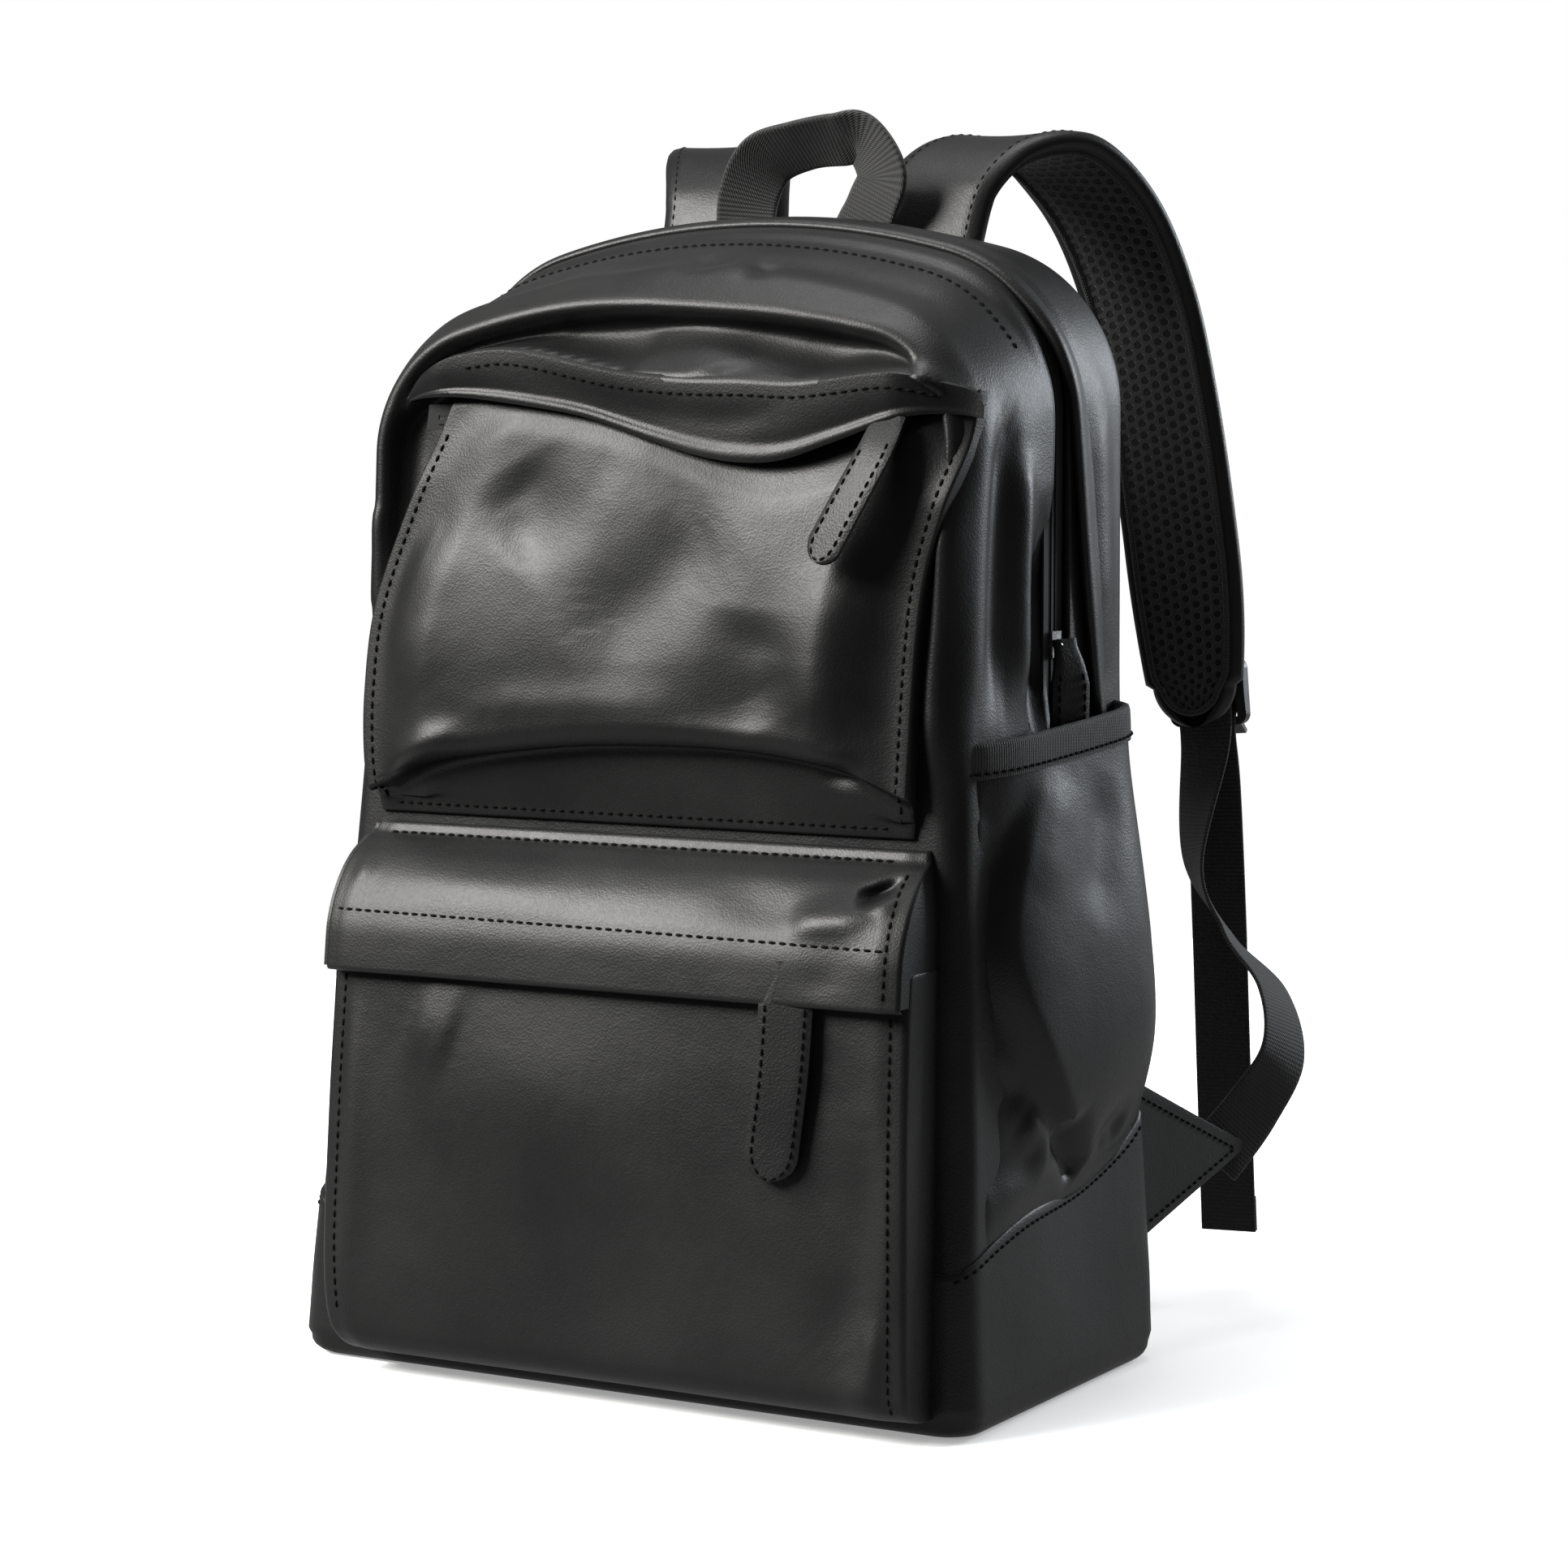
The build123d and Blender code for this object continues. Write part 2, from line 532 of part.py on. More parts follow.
# ---- haul handle --------------------------------------------------------------------------------
def haul_handle():
    """Webbing loop: each leg stands flat in the back seam and turns a quarter before the crown."""
    base = CREST_Z - 4
    span, crown = HANDLE_HALF_SPAN, CREST_Z + HANDLE_RISE
    left = [(-span, base), (-span, CREST_Z + 0.42 * HANDLE_RISE), (-0.62 * span, CREST_Z + 0.88 * HANDLE_RISE)]
    route = left + [(0, crown)] + [(-x, z) for x, z in reversed(left)]
    turns = [(1, 0, 0), (0.9, 0.45, 0), (0.2, 1, 0), (0, 1, 0), (-0.2, 1, 0), (-0.9, 0.45, 0), (-1, 0, 0)]
    loop = webbing([(x, HANDLE_Y, z) for x, z in route], turns, count=20)
    return one_solid(loop - bag_form(-GAP))


# ---- shoulder strap -----------------------------------------------------------------------------
PAD_T = PAD_SKIN_T + PAD_FOAM_T + PAD_MESH_T
TIP_W = 38.0
TIP_TAPER = 75.0


def strap_frames():
    """Stations along the right strap: middle, width direction, outward direction and width."""
    points, tangents, length = stations(STRAP_ROUTE, STATIONS)
    frames = []
    for i, (point, tangent) in enumerate(zip(points, tangents)):
        across = (tangent * tangent.X - Vector(1, 0, 0)).normalized()
        taper = max(0, 1 - length * (1 - i / (STATIONS - 1)) / TIP_TAPER)
        frames.append((point, across, tangent.cross(across).normalized(), PAD_W - (PAD_W - TIP_W) * taper ** 2))
    return [list(column) for column in zip(*frames)]


def strap_blank(wider, low, high):
    """The strap's outline, wider all round by this much, with its lower end rounded."""
    middles, acrosses, outs, widths = strap_frames()
    heading = (middles[-1] - middles[-2]).normalized()
    radius = TIP_W / 2 + wider
    end = middles[-1] + heading * wider
    nose = Plane(origin=end - heading * radius, x_dir=acrosses[-1], z_dir=outs[-1])
    blank = strip(middles + [end + heading], acrosses + acrosses[-1:], outs + outs[-1:],
                  [w + 2 * wider for w in widths + widths[-1:]], low, high)
    below = 1 if nose.y_dir.dot(heading) > 0 else -1
    return blank - nose * (Pos(0, below * PAD_W, 0) * Box(2 * PAD_W, 2 * PAD_W, PAD_W) - Cylinder(radius, 2 * PAD_W))


def strap_pad():
    """Leather skin, foam core and air mesh, one on the other, with piping round the edge."""
    clear = bag_form(-GAP)
    blank = strap_blank(0, -PAD_T, PAD_T) - clear
    ring = strap_blank(PIPING_T, -PAD_T / 2 - PIPING_OVER, PAD_T / 2 + PIPING_OVER)
    pieces = {"strap_piping": one_solid(ring - clear - blank)}
    middles, acrosses, outs, widths = strap_frames()
    low = -PAD_T / 2
    past = middles[-1] * 2 - middles[-2]
    for name, thickness in {"mesh": PAD_MESH_T, "foam": PAD_FOAM_T, "leather": PAD_SKIN_T}.items():
        layer = strip(middles + [past], acrosses + acrosses[-1:], outs + outs[-1:], [PAD_W + TIP_W] * (STATIONS + 1),
                      low, low + thickness)
        pieces[f"strap_{name}"] = one_solid(layer & blank)
        low += thickness
    return pieces


def lock_frame():
    """Local frame of the ladder lock: y up the strap, z away from its leather face."""
    middles, acrosses, outs, _ = strap_frames()
    up = (middles[-2] - middles[-1]).normalized()
    origin = middles[-1] + up * LOCK_DROP + outs[-1] * (PAD_T / 2 + LOCK_OFFSET)
    return Plane(origin=origin, x_dir=acrosses[-1], z_dir=outs[-1])


LOCK_TOP_Y = LOCK_H / 2 - LOCK_BAR / 2
LOCK_PIN_R = 1.6
BAR_HALF_T = 1.2
RIB_H = 0.4
KEEPER_HOLE = LOCK_PIN_R + 0.35
TAIL_END_X = 126.0
TAIL_END_Z = 26.0
HEM_H = 14.0
KEEPER_LIE = 44.0
KEEPER_SINK = 0.7
ADJUSTER_ROUTE = [(154.5, 140, 76), (160, 152, 90), (168, 164, 112), (158, 176, 136), (134, 186, 156), (115, 192, 186)]
ADJUSTER_TURNS = [(0.8, 0, -0.5), (0.8, 0.1, -0.2), (0.7, 0.4, 0.6), (0.4, 0.7, 0.6), (0.5, 0.85, 0), (0.8, 0.6, 0),
                  (1, 0.2, 0), (1, 0, 0)]
TAB_TIP = (157, 148, 75)
TAB_LOW_Z = 47.0
TAB_HIGH_Z = 112.0
TAB_T = 4.0


def ladder_lock():
    """Moulded three-bar lock: bowed rails, a round keeper bar, a ribbed grip bar and a curled lifting lip."""
    half, foot, window = LOCK_T / 2, -LOCK_H / 2, LOCK_W - 2 * LOCK_RAIL
    frame = RectangleRounded(LOCK_W, LOCK_H, 4.5)
    low_window = (foot + LOCK_BAR, -LOCK_BAR / 2)
    high_window = (LOCK_BAR / 2, LOCK_H / 2 + LOCK_BAR)
    for low, high in (low_window, high_window):
        frame -= Pos(0, (low + high) / 2) * Rectangle(window, high - low)
    bow = Spline((foot - 1, -0.3 * half), (0, -half), (LOCK_H / 2 + 1, -0.8 * half))
    back = Spline((foot - 1, 0.9 * half), (0, 0.8 * half), (LOCK_H / 2 + 1, 0.8 * half))
    side = make_face(bow + back + Line(bow @ 0, back @ 0) + Line(bow @ 1, back @ 1))
    body = extrude(Pos(0, 0, -LOCK_T) * frame, 2 * LOCK_T) & extrude(Plane.YZ * side, LOCK_W, both=True)
    for sign in (-1, 1):
        body -= Pos(0, 0, sign * (BAR_HALF_T + LOCK_T / 2)) * Box(window, LOCK_H * 2, LOCK_T)
    body += Pos(0, LOCK_TOP_Y, 0) * Rot(0, 90, 0) * Cylinder(LOCK_PIN_R, LOCK_W - LOCK_RAIL)
    curl = polygon([(foot + LOCK_BAR, BAR_HALF_T), (foot + 0.6, BAR_HALF_T), (foot - 4.0, 2.2 * half),
                    (foot - 2.6, 2.7 * half)], Plane.YZ)
    body += extrude(curl, window / 2, both=True)
    body += [Pos(x, 0, BAR_HALF_T) * Box(1.1, LOCK_BAR * 0.7, 2 * RIB_H) for x in range(-11, 12, 2)]
    return one_solid(body)


def strap_webbing():
    """Keeper, adjuster and tail webbing of the right strap, and the leather tab that anchors it."""
    local = lock_frame()
    reach, lie = KEEPER_HOLE + WEB_T, WEB_T / 2 - LOCK_OFFSET - KEEPER_SINK
    lead = FilletPolyline((LOCK_TOP_Y + KEEPER_LIE, lie), (LOCK_TOP_Y + 1.6 * LOCK_OFFSET, lie),
                          (LOCK_TOP_Y + 0.4 * reach, -0.6 * reach), radius=3 * WEB_T)
    flat = extrude(Plane.YZ * trace(lead, WEB_T), WEB_W / 2, both=True)
    loop = Pos(0, LOCK_TOP_Y, 0) * Rot(0, 90, 0) * (Cylinder(reach, WEB_W))
    hole = Pos(0, LOCK_TOP_Y, 0) * Rot(0, 90, 0) * Cylinder(KEEPER_HOLE, 2 * WEB_W)
    keeper = one_solid(local * (flat + loop - hole) - strap_blank(0, -PAD_T, PAD_T / 2 + SEAT))

    behind, before = -BAR_HALF_T - WEB_T / 2 - 2 * SEAT, BAR_HALF_T + RIB_H + WEB_T / 2 + 2 * SEAT
    over = (LOCK_BAR + WEB_T) / 2 + 2 * SEAT
    bend = FilletPolyline((0, behind), (over, behind), (over, before), (-over, before), (-2.7 * LOCK_BAR, behind),
                          (-LOCK_H / 2 - 1, behind), radius=0.6 * WEB_T)
    wrap = local * extrude(Plane.YZ * trace(bend, WEB_T), WEB_W / 2, both=True)
    hang = [local.from_local_coords((0, y, behind)) for y in (-LOCK_H / 2, -LOCK_H / 2 - 6)]
    hang += [hang[-1] + Vector(*step) for step in ((1, 0.5, -16), (3, 2, -66), (5, 3, -121))]
    foot = Vector(TAIL_END_X, hang[-1].Y, TAIL_END_Z)
    tail = webbing(hang + [foot], [(-1, 0, 0)] * 2, count=20)
    hem = Pos(foot.X, foot.Y + WEB_T, foot.Z + HEM_H / 2) * Box(WEB_W, WEB_T, HEM_H)

    load = behind - WEB_T - 3 * GAP
    top = [local.from_local_coords((0, y, z)) for y, z in ((-LOCK_H / 2 - 8, load - 1.2), (-LOCK_H / 2 + 4, load - 0.2), (-1, load))]
    adjuster = webbing([Vector(*p) for p in ADJUSTER_ROUTE] + top, ADJUSTER_TURNS, count=34)
    tip, low, high = Vector(*TAB_TIP), TAB_LOW_Z, TAB_HIGH_Z
    root_y = BACK_Y - BACK_EDGE_R
    face = make_face(Polyline(Vector(side_x(high) - TAB_T, root_y, high), Vector(side_x(low) - TAB_T, root_y, low), tip,
                              close=True))
    tab = one_solid(extrude(face, TAB_T / 2, both=True) - OUTER - adjuster)
    return {
        "strap_keeper": keeper,
        "tail_webbing": one_solid(wrap + tail + hem),
        "adjuster_webbing": adjuster,
        "strap_tab": tab,
    }


def back_pads():
    """Foam pads under air mesh on the worn side: two columns and a lumbar pad."""
    face = Plane(origin=(0, BACK_Y, 0), x_dir=(1, 0, 0), z_dir=(0, -1, 0)) * outline(PAD_MARGIN, CREST_Z, TOP_CORNER_R)
    field = extrude(face, -PAD_STAND)
    channel, split, foot, head = PAD_CHANNEL, PAD_SPLIT_Z, PAD_FOOT_Z, PAD_HEAD_Z
    zones = {
        "back_pad_lumbar": slab(z=(foot, split - channel / 2)),
        "back_pad_left": slab(x=(-BIG, -channel / 2), z=(split + channel / 2, head)),
        "back_pad_right": slab(x=(channel / 2, BIG), z=(split + channel / 2, head)),
    }
    pads = {}
    for name, zone in zones.items():
        pad = one_solid(field & zone)
        outer = pad.faces().sort_by(Axis.Y)[-1]
        pads[name] = one_solid(fillet(outer.edges(), PAD_STAND * 0.55))
    return pads


def laptop_sleeve():
    """Padded divider, sewn to the lining at its bottom and sides, open at the top."""
    room = bag_form(WALL + LINING + SEAT)
    rear = BACK_Y - SLEEVE_ROOM
    divider = room & slab(y=(rear - SLEEVE_T, rear), z=(0, SLEEVE_TOP_Z))
    scoop = Pos(0, rear, SLEEVE_TOP_Z + SLEEVE_SCOOP_R - SLEEVE_SCOOP) * Rot(90, 0, 0) * Cylinder(SLEEVE_SCOOP_R, BIG)
    return one_solid(divider - scoop)


if __name__ == "__main__":
    os.makedirs("parts", exist_ok=True)
    nodes = {}
    for group in (bag_panels(), linings(), main_zip(), lower_pocket(), upper_pocket(), back_pads()):
        nodes.update(group)
    nodes["haul_handle"] = haul_handle()
    nodes["laptop_sleeve"] = laptop_sleeve()
    main = side_frame(ZIP_Y, MAIN_SLIDER_Z)
    nodes["main_slider"] = main * slider(False, (-1,))
    nodes["main_pull"] = main * leather_pull()
    lower = front_frame(LP_SLIDER_X, LP_ZIP_Z, LP_PROUD)
    nodes["lower_slider"] = lower * slider(True, (-1, 1))
    nodes["lower_pull"] = lower * leather_pull()
    upper = front_frame(UP_SLIDER_X, UP_ZIP_Z, UP_TOP_PROUD)
    at_pin = Pos(0, 0, PIN_OUT)
    nodes["upper_slider"] = upper * slider(True, (-1, 1))
    nodes["upper_pull"] = upper * (at_pin * Rot(-UP_PULL_LIFT, 0, UP_PULL_SKEW) * Pos(0, 0, -PIN_OUT) * leather_pull())
    sided = {**side_pocket(), **strap_pad(), **strap_webbing(), "ladder_lock": lock_frame() * ladder_lock()}
    for name, shape in sided.items():
        nodes[name + "_right"] = shape
        nodes[name + "_left"] = mirrored(shape)
    for name, shape in nodes.items():
        export_step(shape, f"parts/{name}.step")
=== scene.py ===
"""Studio scene of the leather backpack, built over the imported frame. Metres, same axes as the frame."""
import json
import logging
from dataclasses import dataclass
from enum import Enum
from math import atan2, cos, pi, radians, sin, sqrt

import bmesh
import bpy
import numpy as np
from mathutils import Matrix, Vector
from mathutils.bvhtree import BVHTree

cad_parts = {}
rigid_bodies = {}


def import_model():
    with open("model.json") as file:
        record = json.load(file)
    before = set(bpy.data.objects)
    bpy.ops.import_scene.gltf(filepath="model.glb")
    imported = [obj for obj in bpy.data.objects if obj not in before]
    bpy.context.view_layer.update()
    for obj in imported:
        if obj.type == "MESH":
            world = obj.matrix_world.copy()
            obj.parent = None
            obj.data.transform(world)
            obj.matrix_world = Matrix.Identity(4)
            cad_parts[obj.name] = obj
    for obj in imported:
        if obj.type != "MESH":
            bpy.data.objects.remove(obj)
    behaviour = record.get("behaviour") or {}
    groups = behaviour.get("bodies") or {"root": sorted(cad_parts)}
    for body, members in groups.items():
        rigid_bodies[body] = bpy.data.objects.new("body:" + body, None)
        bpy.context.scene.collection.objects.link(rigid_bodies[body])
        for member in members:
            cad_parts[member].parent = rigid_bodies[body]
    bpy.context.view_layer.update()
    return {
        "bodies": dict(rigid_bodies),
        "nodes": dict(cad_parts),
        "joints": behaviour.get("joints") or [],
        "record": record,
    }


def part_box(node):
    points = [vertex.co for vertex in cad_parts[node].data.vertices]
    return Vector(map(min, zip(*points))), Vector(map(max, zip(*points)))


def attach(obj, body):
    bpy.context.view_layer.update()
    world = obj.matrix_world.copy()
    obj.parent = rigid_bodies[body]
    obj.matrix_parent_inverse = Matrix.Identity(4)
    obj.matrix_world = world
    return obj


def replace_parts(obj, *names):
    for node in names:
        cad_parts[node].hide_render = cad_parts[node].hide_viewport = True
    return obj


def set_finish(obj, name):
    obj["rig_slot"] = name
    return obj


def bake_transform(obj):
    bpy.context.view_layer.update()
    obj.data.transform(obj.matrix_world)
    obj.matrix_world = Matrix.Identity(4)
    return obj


Array = np.ndarray
Node = bpy.types.Node
Socket = bpy.types.NodeSocket
Object = bpy.types.Object
Material = bpy.types.Material
Point = tuple[float, float, float]
Colour = tuple[float, float, float]
Knots = tuple[tuple[float, float], ...]
Route = tuple[Point, ...]
LOG = logging.getLogger("backpack")
WHITE = (1, 1, 1, 1)
WELD = 0.00005


# ---- finishes -----------------------------------------------------------------------------------
class Nodes:
    """A node tree while it is being put together. LOW and HIGH bound the middle of a noise."""

    LOW, HIGH = 0.3, 0.7

    def __init__(self, tree: bpy.types.NodeTree) -> None:
        """Starts on a tree."""
        self.tree = tree
        self.place: Node = tree.nodes.new("ShaderNodeTexCoord")

    def add(self, kind: str, settings: dict[str, object] | None = None, **inputs: object) -> Node:
        """Adds a node.

        Args:
            kind: the node's type without its ShaderNode prefix.
            settings: attributes of the node itself.
            inputs: socket values or sources, with underscores for spaces in the socket's name.

        Returns:
            The new node.
        """
        node = self.tree.nodes.new("ShaderNode" + kind)
        for name, value in (settings or {}).items():
            setattr(node, name, value)
        for name, value in inputs.items():
            self.feed(node.inputs[name.replace("_", " ")], value)
        return node

    def feed(self, socket: Socket, value: object) -> None:
        """Gives a socket a constant or a link.

        Args:
            socket: what to feed.
            value: a value, or the output of another node.
        """
        if isinstance(value, Socket):
            self.tree.links.new(value, socket)
        else:
            socket.default_value = value

    def noise(self, scale: float, detail: float = 2.0, rough: float = 0.5) -> Socket:
        """Soft noise in the frame's metres, from 0 to 1."""
        return self.add("TexNoise", Vector=self.place.outputs["Object"], Scale=scale, Detail=detail,
                        Roughness=rough).outputs[0]

    def math(self, operation: str, first: object, second: object = 0.0) -> Socket:
        """One arithmetic step.

        Args:
            operation: its name.
            first: a value or an output.
            second: the same.

        Returns:
            The result's output.
        """
        node = self.add("Math", {"operation": operation})
        self.feed(node.inputs[0], first)
        self.feed(node.inputs[1], second)
        return node.outputs[0]

    def spread(self, source: Socket, low: float, high: float) -> Socket:
        """Maps the middle of a 0 to 1 source onto a range."""
        return self.add("MapRange", Value=source, From_Min=self.LOW, From_Max=self.HIGH, To_Min=low,
                        To_Max=high).outputs[0]

    def tint(self, source: Socket, dark: Colour, light: Colour) -> Socket:
        """A colour between two by a source.

        Args:
            source: an output from 0 to 1.
            dark: colour at the low end.
            light: colour at the high end.

        Returns:
            The colour's output.
        """
        ramp = self.add("ValToRGB", Fac=source)
        for stop, colour, place in zip(ramp.color_ramp.elements, (dark, light), (self.LOW, self.HIGH)):
            stop.color, stop.position = (*colour, 1), place
        return ramp.outputs[0]

    def bump(self, height: Socket, strength: float, distance: float, under: Socket | None = None) -> Socket:
        """A bump normal over another.

        Args:
            height: the output that gives the height.
            strength: how strongly it shows, from 0 to 1.
            distance: height of the relief, in metres.
            under: a bump that this one lies over.

        Returns:
            The normal's output.
        """
        node = self.add("Bump", Height=height, Strength=strength, Distance=distance)
        if under is not None:
            self.feed(node.inputs["Normal"], under)
        return node.outputs[0]


class Shader(Nodes):
    """A material's nodes, round its surface shader."""

    def __init__(self, name: str) -> None:
        """Makes a material that still has to be dressed.

        Args:
            name: name of the material.
        """
        self.material: Material = bpy.data.materials.new(name)
        self.material.use_nodes = True
        super().__init__(self.material.node_tree)
        self.surface: Node = self.tree.nodes["Principled BSDF"]

    def dress(self, **inputs: object) -> Material:
        """Feeds the surface shader and hands the material over.

        Args:
            inputs: values or outputs, with underscores for spaces in the socket's name.

        Returns:
            The material.
        """
        for name, value in inputs.items():
            self.feed(self.surface.inputs[name.replace("_", " ")], value)
        return self.material


@dataclass(frozen=True)
class Finish:
    """A surface finish. Each kind of material has its own subclass.

    Attributes:
        name: name of the material.
        slot: the record's material slot that it dresses.
    """

    name: str
    slot: str

    def material(self) -> Material:
        """The material, made once."""
        found = bpy.data.materials.get(self.name)
        return found if found is not None else self.make()

    def make(self) -> Material:
        """Builds the material's nodes."""
        raise NotImplementedError


@dataclass(frozen=True)
class Leather(Finish):
    """Coated leather with a fine grain and a satin face.

    Attributes:
        dark: the deepest tone.
        light: the palest tone.
        rough: roughness in the middle of its range.
        gloss: how much light the coat throws back.
        grain: how plainly the grain shows.
        cells, pores, clouds, dents: how fine each pattern is, as a noise scale.
    """

    dark: Colour = (0.004, 0.004, 0.0042)
    light: Colour = (0.0075, 0.0074, 0.0074)
    rough: float = 0.42
    gloss: float = 0.26
    grain: float = 0.16
    cells: float = 1150.0
    pores: float = 620.0
    clouds: float = 14.0
    dents: float = 38.0

    def make(self) -> Material:
        """Grain cells, pores and slow changes of tone.

        Returns:
            The material.
        """
        s = Shader(self.name)
        cells = s.add("TexVoronoi", {"feature": "F1"}, Vector=s.place.outputs["Object"], Scale=self.cells)
        pores = s.noise(self.pores, 4.0, 0.6)
        slow = s.noise(self.clouds, 3.0)
        rough = s.math("ADD", s.spread(slow, self.rough - 0.035, self.rough + 0.05), s.spread(pores, -0.02, 0.03))
        soft = s.bump(s.noise(self.dents), 0.1, 0.004)
        grain = s.bump(cells.outputs["Distance"], self.grain, 0.0004, soft)
        return s.dress(Base_Color=s.tint(slow, self.dark, self.light), Roughness=rough, Specular_IOR_Level=self.gloss,
                       Normal=s.bump(pores, self.grain * 0.6, 0.0002, grain))


@dataclass(frozen=True)
class Webbing(Finish):
    """Ribbed woven webbing, in the piece's own length and width coordinates.

    Attributes:
        rib: distance from rib to rib.
        tone: brightness in the middle of its range.
        twill: distance from one fine diagonal to the next.
    """

    rib: float = 0.0017
    tone: float = 0.012
    twill: float = 0.0011

    def make(self) -> Material:
        """Ribs along the length with a fine twill across them, painted darker in their hollows as painted shade.

        Returns:
            The material.
        """
        s = Shader(self.name)
        parts = s.add("SeparateXYZ", Vector=s.place.outputs["UV"])
        along, across = parts.outputs[0], parts.outputs[1]
        ribs = s.math("SINE", s.math("MULTIPLY", across, 2 * pi / self.rib))
        slant = s.math("ADD", along, s.math("MULTIPLY", across, 0.8))
        twill = s.math("SINE", s.math("MULTIPLY", slant, 2 * pi / self.twill))
        weave = s.math("ADD", s.math("MULTIPLY", ribs, 0.6), s.math("MULTIPLY", twill, 0.5))
        fuzz = s.bump(s.noise(1500.0, 3.0), 0.25, 0.0003)
        tone = (self.tone * 0.6,) * 3, (self.tone * 1.7,) * 3
        # colour follows the weave's height: painted shade in the hollows between ribs, lighter on the crests
        colour = s.tint(s.math("ADD", s.math("MULTIPLY", weave, 0.4), 0.5), *tone)
        return s.dress(Base_Color=colour, Roughness=0.72, Specular_IOR_Level=0.35, Sheen_Weight=0.12,
                       Sheen_Roughness=0.5, Normal=s.bump(weave, 0.55, 0.00035, fuzz))


@dataclass(frozen=True)
class AirMesh(Finish):
    """Spacer mesh with rows of staggered holes.

    Attributes:
        pitch: distance from hole to hole.
    """

    pitch: float = 0.005

    def make(self) -> Material:
        """Three waves a third of a turn apart leave a staggered pattern of holes, painted near black inside as painted
        shade.

        Returns:
            The material.
        """
        s = Shader(self.name)
        parts = s.add("SeparateXYZ", Vector=s.place.outputs["UV"])
        waves = []
        for turn in (0.0, 2 * pi / 3, 4 * pi / 3):
            run = s.math("ADD", s.math("MULTIPLY", parts.outputs[0], cos(turn)),
                         s.math("MULTIPLY", parts.outputs[1], sin(turn)))
            waves.append(s.math("COSINE", s.math("MULTIPLY", run, 2 * pi / (self.pitch * sqrt(0.75)))))
        total = s.math("ADD", s.math("ADD", waves[0], waves[1]), waves[2])
        holes = s.add("MapRange", Value=total, From_Min=-0.35, From_Max=0.55).outputs[0]
        solid = s.math("SUBTRACT", 1.0, holes)
        fuzz = s.bump(s.noise(2200.0, 3.0), 0.3, 0.0003)
        # the holes take the near-black colour as painted shade down in them; the solid mesh takes the lighter one
        return s.dress(Base_Color=s.tint(solid, (0.001,) * 3, (0.02, 0.02, 0.0205)), Roughness=0.8,
                       Specular_IOR_Level=0.25, Sheen_Weight=0.15, Normal=s.bump(solid, 0.9, 0.0012, fuzz))


@dataclass(frozen=True)
class Cloth(Finish):
    """Plain woven lining cloth or thread.

    Attributes:
        tone: brightness in the middle of its range.
        rough: roughness.
    """

    tone: float = 0.012
    rough: float = 0.7

    def make(self) -> Material:
        """A fine noise for the yarns.

        Returns:
            The material.
        """
        s = Shader(self.name)
        yarn = s.noise(1800.0)
        return s.dress(Base_Color=s.tint(yarn, (self.tone * 0.7,) * 3, (self.tone * 1.4,) * 3), Roughness=self.rough,
                       Sheen_Weight=self.tone * 8, Specular_IOR_Level=0.15, Normal=s.bump(yarn, 0.3, 0.0002))


@dataclass(frozen=True)
class Hard(Finish):
    """Moulded plastic or plated metal with slight wear.

    Attributes:
        tone: its colour.
        rough: roughness where it is least worn.
        metallic: 1 for metal, 0 for plastic.
    """

    tone: Colour = (0.014, 0.014, 0.014)
    rough: float = 0.42
    metallic: float = 0.0

    def make(self) -> Material:
        """Fine texture and uneven gloss.

        Returns:
            The material.
        """
        s = Shader(self.name)
        wear = s.noise(220.0, 4.0)
        return s.dress(Base_Color=(*self.tone, 1), Metallic=self.metallic,
                       Roughness=s.spread(wear, self.rough - 0.06, self.rough + 0.1),
                       Normal=s.bump(s.noise(1600.0), 0.08, 0.0002))


@dataclass(frozen=True)
class Floor(Finish):
    """Matt studio paper, which the camera sees white and the bag sees grey."""

    def make(self) -> Material:
        """A paper that glows a little for the camera and for glosses, and is darkened only by shadow.

        Returns:
            The material.
        """
        s = Shader(self.name)
        rays = s.add("LightPath").outputs
        seen = s.math("MAXIMUM", rays["Is Camera Ray"], rays["Is Glossy Ray"])
        tone = s.tint(rays["Is Camera Ray"], (0.16,) * 3, (0.85,) * 3)
        return s.dress(Base_Color=tone, Roughness=0.85, Specular_IOR_Level=0.0, Emission_Color=WHITE,
                       Emission_Strength=s.math("MULTIPLY", seen, 0.3))


LEATHER = Leather("satin leather", "leather")
BASE_LEATHER = Leather("base leather", "base_leather", rough=0.44)
PULL_LEATHER = Leather("pull leather", "pull_leather", rough=0.46, grain=0.26)
WEBBING = Webbing("ribbed webbing", "webbing", tone=0.009)
CLOTH_WEBBING = Cloth("plain webbing", "webbing")
BINDING = Webbing("binding", "piping", rib=0.0012, tone=0.008)
MESH = AirMesh("air mesh", "air_mesh")
LINING = Cloth("lining cloth", "lining", tone=0.02)
THREAD = Cloth("thread", "leather", tone=0.0012, rough=0.9)
METAL = Hard("plated metal", "zip_metal", (0.32, 0.32, 0.33), 0.28, 1.0)
TAPE = Cloth("zip tape", "zip_tape", tone=0.008)
PLASTIC = Hard("lock plastic", "lock_plastic")
PAPER = Floor("studio paper", "")


# ---- meshes -------------------------------------------------------------------------------------
def unit(vectors: Array) -> Array:
    """Vectors of length one along the last axis."""
    return vectors / np.maximum(np.linalg.norm(vectors, axis=-1, keepdims=True), 1e-12)


def ease(values: Array) -> Array:
    """A smooth step from 0 to 1."""
    t = np.clip(values, 0.0, 1.0)
    return t * t * (3 - 2 * t)


def read_at(wanted: Array, known: Array, values: Array) -> Array:
    """Rows of values at wanted distances, between the distances at which they are known."""
    return np.stack([np.interp(wanted, known, column) for column in values.T], axis=1)


